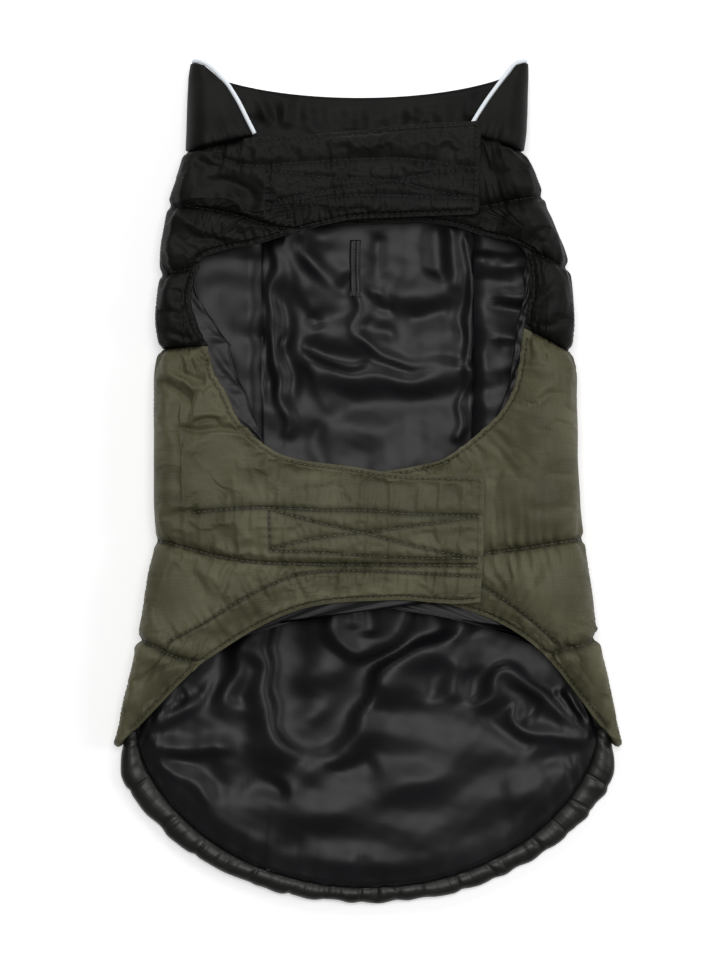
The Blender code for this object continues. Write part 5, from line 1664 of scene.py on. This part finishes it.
@dataclass
class LeadSlit:
    """The bound slit for a lead in the lining, with a bar tack at its lower end."""

    x: float = -6.6
    top: float = 134.0
    bottom: float = 103.0
    half_width: float = 3.0
    lip: float = 0.5

    def build(
        self, lining: BVHTree, material: bpy.types.Material, stitching: "Stitching"
    ) -> bpy.types.Object:
        """The two lips of the slit on the lining with painted shade between them, and the lines of
        thread round them.
        """
        y = np.linspace(self.top, self.bottom, 42)
        across = np.linspace(-1.0, 1.0, 17)
        ground = np.array([
            lining.ray_cast(Vector((self.x * MM, v * MM, 0.2)), Vector((0.0, 0.0, -1.0)))[0].z / MM
            for v in y
        ])
        for _ in range(6):
            ground[1:-1] = 0.25 * ground[:-2] + 0.5 * ground[1:-1] + 0.25 * ground[2:]
        lips = self.lip * np.sin(np.pi * np.abs(across)) ** 0.6
        centre = self.x + 0.5 * np.sin(y / 11.0)
        points = np.zeros((len(y), len(across), 3))
        points[:, :, 0] = centre[:, None] + self.half_width * across
        points[:, :, 1] = y[:, None]
        points[:, :, 2] = (ground + 0.4)[:, None] + lips
        # Painted shade down the middle, where the slit opens between the lips.
        shade = np.broadcast_to(np.exp(-((across / 0.16) ** 2)), points.shape[:2])
        inner = points.copy()
        inner[:, :, 2] = ground[:, None] - 1.0
        grid = Grid(points, points[:, :, :2] * MM, np.array(shade))
        piece = wall("lead_slit_binding", grid, inner, -1.0, material, 0.2)
        for place in (-0.2, 0.55):
            stitching.lines.append(np.column_stack([
                centre + self.half_width * place, y, ground + 0.55 + self.lip
            ]))
        for row in range(4):
            width = np.linspace(-2.6, 2.6, 10)
            stitching.lines.append(np.column_stack([
                self.x + width, np.full(10, self.bottom + 0.7 * row), np.full(10, ground[-1] + 1.5)
            ]))
        return piece


def tube(
    name: str, route: np.ndarray, radius: float, sides: int, material: bpy.types.Material
) -> bpy.types.Object:
    """A round cord of points in millimetres, closed at both ends."""
    tangent = np.gradient(route, axis=0)
    tangent /= np.linalg.norm(tangent, axis=1, keepdims=True)
    across = np.cross(tangent[0], (0.0, 0.0, 1.0))
    rings = []
    angle = 2 * np.pi * np.arange(sides) / sides
    for index, point in enumerate(route):
        forward = tangent[index]
        across = across - forward * (across @ forward)
        across /= np.linalg.norm(across)
        up = np.cross(forward, across)
        ring = np.cos(angle)[:, None] * across + np.sin(angle)[:, None] * up
        rings.append(point + radius * ring)
    points = np.vstack([np.array(rings).reshape(-1, 3), route[:1], route[-1:]])
    count = len(route)
    faces = []
    for ring in range(count - 1):
        for side in range(sides):
            turn = (side + 1) % sides
            a, b = ring * sides, (ring + 1) * sides
            faces.append((a + side, a + turn, b + turn, b + side))
    last = (count - 1) * sides
    for side in range(sides):
        turn = (side + 1) % sides
        faces.append((count * sides, turn, side))
        faces.append((count * sides + 1, last + side, last + turn))
    return mesh_from(name, points, faces, material)


@dataclass
class TailHem:
    """The elastic casing round the tail: cloth gathered into uneven flutes over the elastic."""

    rings: int = 620
    sides: int = 18
    height: float = 8.6
    flute_mm: float = 52.0

    def build(self, material: bpy.types.Material) -> bpy.types.Object:
        """The casing as one closed gathered tube, with painted shade along its inner seam and in
        the grooves of its flutes.
        """
        turn = np.linspace(0.0, 1.0, self.rings)
        inner = tail_curve(HEM_INNER, turn)
        outer = tail_curve(HEM_OUTER, turn)
        run = np.concatenate([[0.0], np.cumsum(np.linalg.norm(np.diff(outer, axis=0), axis=1))])
        even = np.interp(np.linspace(0.0, run[-1], self.rings), run, turn)
        inner = tail_curve(HEM_INNER, even)
        outer = tail_curve(HEM_OUTER, even)
        run = np.linspace(0.0, run[-1], self.rings)
        end = 1.0 - ease(np.minimum(run, run[-1] - run) / 16.0)
        inner[:, 1] += 6.0 * end
        outer[:, 1] += 9.0 * end
        outer[:, 0] *= 1.0 - 0.03 * end
        across = outer - inner
        width = np.linalg.norm(across, axis=1, keepdims=True)
        across = across / width
        inner = inner - across * 1.4
        lobes = smooth_noise(run / self.flute_mm, 62)
        lobes = 0.45 * smooth_noise(run / 30.0, 61) - 0.8 * np.exp(-((lobes / 0.4) ** 2))
        outer = outer + across * (lobes - 0.2)[:, None]
        angle = 2 * np.pi * np.arange(self.sides) / self.sides
        share = 0.5 - 0.5 * np.cos(angle)
        raise_up = np.sin(angle)
        lean = run[:, None] + 5.0 * smooth_noise(run / 45.0, 64)[:, None] * (share - 0.5)
        flutes = smooth_noise(lean / self.flute_mm, 62)
        flutes = 1.0 - 2.0 * np.exp(-((flutes / 0.13) ** 2))
        fine = smooth_noise(lean / 15.0, 63) + 0.35 * smooth_noise(lean / 6.5, 65)
        pleat = -1.5 * np.exp(-(((run - 0.515 * run[-1]) / 2.2) ** 2))
        rings = []
        for index in range(self.rings):
            twist = 0.08 * math.sin(run[index] / 11.0)
            s = np.clip(share + twist * np.sin(np.pi * share), 0.0, 1.0)
            place = inner[index] + (outer[index] - inner[index]) * s[:, None]
            bump = flutes[index] * 0.34 + fine[index] * 0.26 + pleat[index]
            crown = self.height * (0.5 + 0.5 * np.sign(raise_up) * np.abs(raise_up) ** 0.75)
            arch = np.sin(np.pi * s)
            z = crown * (0.80 + 0.10 * arch) + bump * arch**0.6 * (raise_up > 0.05)
            z = np.where(raise_up < -0.05, np.minimum(z, 0.6), z)
            rings.append(np.column_stack([place, np.maximum(z, 0.0)]))
        points = np.array(rings)
        flat = points.reshape(-1, 3)
        faces = []
        for ring in range(self.rings - 1):
            for side in range(self.sides):
                after = (side + 1) % self.sides
                a, b = ring * self.sides, (ring + 1) * self.sides
                faces.append((a + side, b + side, b + after, a + after))
        ends = np.vstack([points[0].mean(axis=0), points[-1].mean(axis=0)])
        last = (self.rings - 1) * self.sides
        total = self.rings * self.sides
        for side in range(self.sides):
            after = (side + 1) % self.sides
            faces.append((total, side, after))
            faces.append((total + 1, last + after, last + side))
        uv = np.zeros((len(flat) + 2, 2))
        uv[:total, 0] = np.repeat(run, self.sides) * MM
        uv[:total, 1] = np.tile(np.arange(self.sides) * 1.6, self.rings) * MM
        # Painted shade along the inner seam and in the grooves between the flutes.
        shade = np.zeros(len(flat) + 2)
        shade[:total] = np.tile(np.exp(-((share / 0.06) ** 2)), self.rings) * 0.9
        groove = 1.0 - ease(np.abs(flutes + 0.6) / 0.9)
        shade[:total] = np.maximum(shade[:total], groove.ravel() * 0.3)
        item = mesh_from("tail_hem_casing", np.vstack([flat, ends]), faces, material, uv, shade)
        return item


@dataclass
class Stitching:
    """Lockstitch drawn as short threads along a sewn line, a little thicker than real thread."""

    name: str
    thread: Thread
    pitch: float = 3.1
    length: float = 2.2
    width: float = 0.34
    lines: list[np.ndarray] = field(default_factory=list)

    def lay_on(self, tree: BVHTree, plan: np.ndarray) -> None:
        """Add a line given on the ground plane, laid on the cloth below it."""
        placed = []
        for x, y in plan:
            hit = tree.ray_cast(Vector((x * MM, y * MM, 0.2)), Vector((0.0, 0.0, -1.0)))[0]
            if hit is None:
                self.keep(placed)
                placed = []
            else:
                placed.append([x, y, hit.z / MM + 0.12])
        self.keep(placed)

    def keep(self, placed: list) -> None:
        """Keep a laid line that is long enough for a stitch or two."""
        if len(placed) > 3:
            self.lines.append(np.array(placed))

    def nodes(self, material: bpy.types.Material) -> bpy.types.NodeTree:
        """The tree that sets one thread for each stitch along the lines."""
        tree = bpy.data.node_groups.new("stitches", "GeometryNodeTree")
        face = tree.interface
        face.new_socket("Geometry", in_out="INPUT", socket_type="NodeSocketGeometry")
        for name in ("Pitch", "Length", "Width"):
            face.new_socket(name, in_out="INPUT", socket_type="NodeSocketFloat")
        face.new_socket("Geometry", in_out="OUTPUT", socket_type="NodeSocketGeometry")
        given = add_node(tree, "NodeGroupInput").outputs
        curve = add_node(tree, "GeometryNodeMeshToCurve", Mesh=given["Geometry"])
        spaced = add_node(
            tree, "GeometryNodeResampleCurve", {"mode": "LENGTH"},
            Curve=curve.outputs["Curve"], Length=given["Pitch"],
        )
        tangent = add_node(tree, "GeometryNodeInputTangent")
        turn = add_node(
            tree, "FunctionNodeAlignRotationToVector", {"axis": "X"},
            Vector=tangent.outputs["Tangent"],
        )
        scale = add_node(
            tree, "ShaderNodeCombineXYZ", X=given["Length"], Y=given["Width"], Z=given["Width"]
        )
        wander = add_node(
            tree, "FunctionNodeRandomValue", {"data_type": "FLOAT"}, Seed=5,
            in2=0.86, in3=1.1,
        )
        varied = add_node(
            tree, "ShaderNodeVectorMath", {"operation": "SCALE"}, Vector=scale.outputs["Vector"],
            Scale=wander.outputs[1],
        )
        thread = add_node(
            tree, "GeometryNodeMeshUVSphere", Segments=6, Rings=4, Radius=0.5
        )
        placed = add_node(
            tree, "GeometryNodeInstanceOnPoints", Points=spaced.outputs["Curve"],
            Instance=thread.outputs["Mesh"], Rotation=turn.outputs["Rotation"],
            Scale=varied.outputs["Vector"],
        )
        real = add_node(tree, "GeometryNodeRealizeInstances", Geometry=placed.outputs["Instances"])
        smooth = add_node(tree, "GeometryNodeSetShadeSmooth", Geometry=real.outputs["Geometry"])
        dressed = add_node(
            tree, "GeometryNodeSetMaterial", Geometry=smooth.outputs["Geometry"],
            Material=material,
        )
        add_node(tree, "NodeGroupOutput", Geometry=dressed.outputs["Geometry"])
        return tree

    def build(self, material: bpy.types.Material) -> bpy.types.Object:
        """All the lines' stitches as one mesh."""
        points, edges = [], []
        for line in self.lines:
            first = len(points)
            points.extend((line * MM).tolist())
            edges.extend((first + k, first + k + 1) for k in range(len(line) - 1))
        mesh = bpy.data.meshes.new(self.name + "_lines")
        mesh.from_pydata(points, edges, [])
        guide = link(self.name + "_lines", mesh)
        modifier = guide.modifiers.new("stitches", "NODES")
        tree = self.nodes(material)
        modifier.node_group = tree
        sizes = {"Pitch": self.pitch * MM, "Length": self.length * MM, "Width": self.width * MM}
        for item in tree.interface.items_tree:
            if item.in_out == "INPUT" and item.name in sizes:
                modifier[item.identifier] = sizes[item.name]
        bpy.context.view_layer.update()
        evaluated = guide.evaluated_get(bpy.context.evaluated_depsgraph_get())
        made = bpy.data.meshes.new_from_object(evaluated)
        made.name = self.name
        bpy.data.objects.remove(guide)
        if not made.materials:
            made.materials.append(material)
        return link(self.name, made)


def tree_of(piece: bpy.types.Object) -> BVHTree:
    """A piece's faces for ray casts."""
    return BVHTree.FromPolygons(
        [v.co.copy() for v in piece.data.vertices], [tuple(p.vertices) for p in piece.data.polygons]
    )


def sew(flanks: tuple[Flank, ...], shells: list[bpy.types.Object], name: str,
        thread: Thread, material: bpy.types.Material) -> bpy.types.Object:
    """Stitches along the free edges, the strap boxes and the quilting of some flanks."""
    stitching = Stitching(name, thread)
    for flank, shell in zip(flanks, shells):
        tree = tree_of(shell)
        stitching.lay_on(tree, flank.inset_line(2.2))
        for seam in flank.seams:
            stitching.lay_on(tree, smooth_line(seam.path, 1.5))
        stitching.lines.extend(flank.quilt_lines())
    return stitching.build(material)


# ---------------------------------------------------------------- setting


def build_floor() -> None:
    """A plain white floor under the coat."""
    size = 6.0
    mesh = bpy.data.meshes.new("floor")
    mesh.from_pydata(
        [(-size, -size, 0.0), (size, -size, 0.0), (size, size, 0.0), (-size, size, 0.0)],
        [], [(0, 1, 2, 3)],
    )
    material, tree, shader = new_finish("white_paper_floor")
    place = add_node(tree, "ShaderNodeTexCoord").outputs["Object"]
    grain = add_node(tree, "ShaderNodeTexNoise", Vector=place, Scale=2.0, Detail=1.0)
    tint = add_node(
        tree, "ShaderNodeMix", {"data_type": "RGBA"}, Factor=grain.outputs["Fac"],
        in6=(0.93, 0.93, 0.93, 1.0), in7=(0.95, 0.95, 0.95, 1.0),
    )
    tree.links.new(tint.outputs[2], shader.inputs["Base Color"])
    shader.inputs["Roughness"].default_value = 0.9
    shader.inputs["Specular IOR Level"].default_value = 0.1
    shader.inputs["Emission Color"].default_value = (1.0, 1.0, 1.0, 1.0)
    shader.inputs["Emission Strength"].default_value = 0.35
    mesh.materials.append(material)
    floor = link("floor", mesh)
    floor.location.z = -0.0002


@dataclass(frozen=True)
class Softbox:
    """A square studio light, aimed at a point."""

    name: str
    place: tuple[float, float, float]
    size: float
    power: float
    aim: tuple[float, float, float] = (0.0, 0.0, 0.0)

    def build(self) -> None:
        """Put the light into the scene."""
        light = bpy.data.lights.new(self.name, "AREA")
        light.shape = "SQUARE"
        light.size = self.size
        light.energy = self.power
        item = bpy.data.objects.new(self.name, light)
        bpy.context.scene.collection.objects.link(item)
        item.location = self.place
        item.visible_camera = False
        toward = Vector(self.aim) - Vector(self.place)
        item.rotation_euler = toward.to_track_quat("-Z", "Y").to_euler()


def build_studio() -> None:
    """Soft light from the upper right, a broad fill and an even pale surround."""
    scene = bpy.context.scene
    world = bpy.data.worlds.new("studio")
    world.use_nodes = True
    world.node_tree.nodes["Background"].inputs["Color"].default_value = (1.0, 1.0, 1.0, 1.0)
    world.node_tree.nodes["Background"].inputs["Strength"].default_value = 0.16
    scene.world = world
    for box in (
        Softbox("overhead", (0.08, 0.5, 3.0), 1.3, 38.0),
        Softbox("top", (-0.25, 1.5, 1.0), 0.7, 8.0),
        Softbox("right", (1.5, 0.2, 1.1), 0.9, 9.0),
    ):
        box.build()
    scene.view_settings.view_transform = "Standard"


def build_camera() -> None:
    """A long lens straight above the coat."""
    height = 2.6
    seen_plane = 0.014  # the level at which the picture is seen_height tall
    seen_height = 0.5333
    sensor = 24.0
    camera = bpy.data.cameras.new("camera")
    camera.sensor_fit = "VERTICAL"
    camera.sensor_height = sensor
    camera.lens = sensor * (height - seen_plane) / seen_height
    camera.clip_end = 20.0
    item = bpy.data.objects.new("camera", camera)
    item.location = (-0.0042, 0.0006, height)
    bpy.context.scene.collection.objects.link(item)
    bpy.context.scene.camera = item


# ---------------------------------------------------------------- assembly


def finish_piece(piece: bpy.types.Object, nodes: tuple[str, ...]) -> None:
    """Ride a piece on the coat's body and let it stand for its solids."""
    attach(piece, BODY)
    if nodes:
        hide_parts(*nodes)
    log.info("%s: %d faces", piece.name, len(piece.data.polygons))


def write_sizes() -> None:
    """Update the view layer so every placement is current."""
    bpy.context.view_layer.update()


def main() -> None:
    """Build every piece of the coat and its setting."""
    finishes = {finish.name: finish.build() for finish in FINISHES}
    olive = finishes["olive_woven_taffeta"]
    black = finishes["black_woven_taffeta"]
    satin = finishes["black_satin_lining"]

    build_camera()
    build_floor()
    build_studio()

    left_upper = Flank("left_upper_shell", -1, LEFT_UPPER_ROWS, LEFT_CHEST_SEAMS,
                       LEFT_BLACK_FOLDS, top_is_free_beyond=-64.0, seed=101)
    left_lower = Flank("left_lower_shell", -1, LEFT_LOWER_ROWS, LEFT_BELLY_SEAMS,
                       LEFT_OLIVE_FOLDS, bottom_is_free=True, seed=102)
    right_upper = Flank("right_upper_shell", 1, RIGHT_UPPER_ROWS, (), RIGHT_BLACK_FOLDS,
                        top_is_free_beyond=57.0, seed=103)
    right_lower = Flank("right_lower_shell", 1, RIGHT_LOWER_ROWS, RIGHT_BELLY_SEAMS,
                        RIGHT_OLIVE_FOLDS, bottom_is_free=True, seed=104)
    shells = []
    for flank, node, material, slot in (
        (left_upper, "left_upper_flank", black, "black_taffeta"),
        (left_lower, "left_lower_flank", olive, "olive_taffeta"),
        (right_upper, "right_upper_flank", black, "black_taffeta"),
        (right_lower, "right_lower_flank", olive, "olive_taffeta"),
    ):
        shells.append(flank.build_shell(material))
        finish_piece(shells[-1], (node,))
    for name, flanks, pair, thread, slot in (
        ("black_stitches", (left_upper, right_upper), shells[0::2], Thread.BLACK, "black_taffeta"),
        ("olive_stitches", (left_lower, right_lower), shells[1::2], Thread.OLIVE, "olive_taffeta"),
    ):
        sewn = sew(flanks, pair, name, thread, finishes[thread.value])
        finish_piece(sewn, ())

    backs = BackPanels()
    for node, top, bottom, rows, material, slot in (
        ("upper_back", NECK_SEAM_Y - NECK_DROP, 73.2, 60, black, "black_taffeta"),
        ("lower_back", 72.8, HEM_INNER[1], 110, olive, "olive_taffeta"),
    ):
        back = backs.build(f"{node}_shell", (top, bottom), rows, material)
        finish_piece(back, (node,))

    lining = Lining()
    back_lining = lining.build_back(satin)
    finish_piece(back_lining, ("back_lining",))
    grey = Stitching("slit_stitches", Thread.GREY, pitch=1.5, length=1.2)
    slit = LeadSlit().build(tree_of(back_lining), satin, grey)
    finish_piece(slit, ("lead_slit_welt",))
    finish_piece(grey.build(finishes[Thread.GREY.value]), ())
    for node, flanks in (
        ("left_lining", (left_upper, left_lower)), ("right_lining", (right_upper, right_lower)),
    ):
        finish_piece(lining.build_flank(f"{node}_satin", flanks, satin), (node,))

    collar = Collar()
    shell, facing = collar.build(black, black)
    finish_piece(shell, ("collar_outer",))
    finish_piece(facing, ("collar_facing",))
    tape = finishes["white_reflective_tape"]
    piping = tube("collar_piping_tape", collar.piping_path(1.9), 1.2, 12, tape)
    finish_piece(piping, ("collar_piping",))
    finish_piece(TailHem().build(finishes["black_casing_taffeta"]), ("tail_hem",))
    write_sizes()
    faces = [p for item in bpy.data.objects if item.type == "MESH" for p in item.data.polygons]
    log.info("%d triangles in all", sum(len(p.vertices) - 2 for p in faces))


if __name__ == "__main__":
    main()
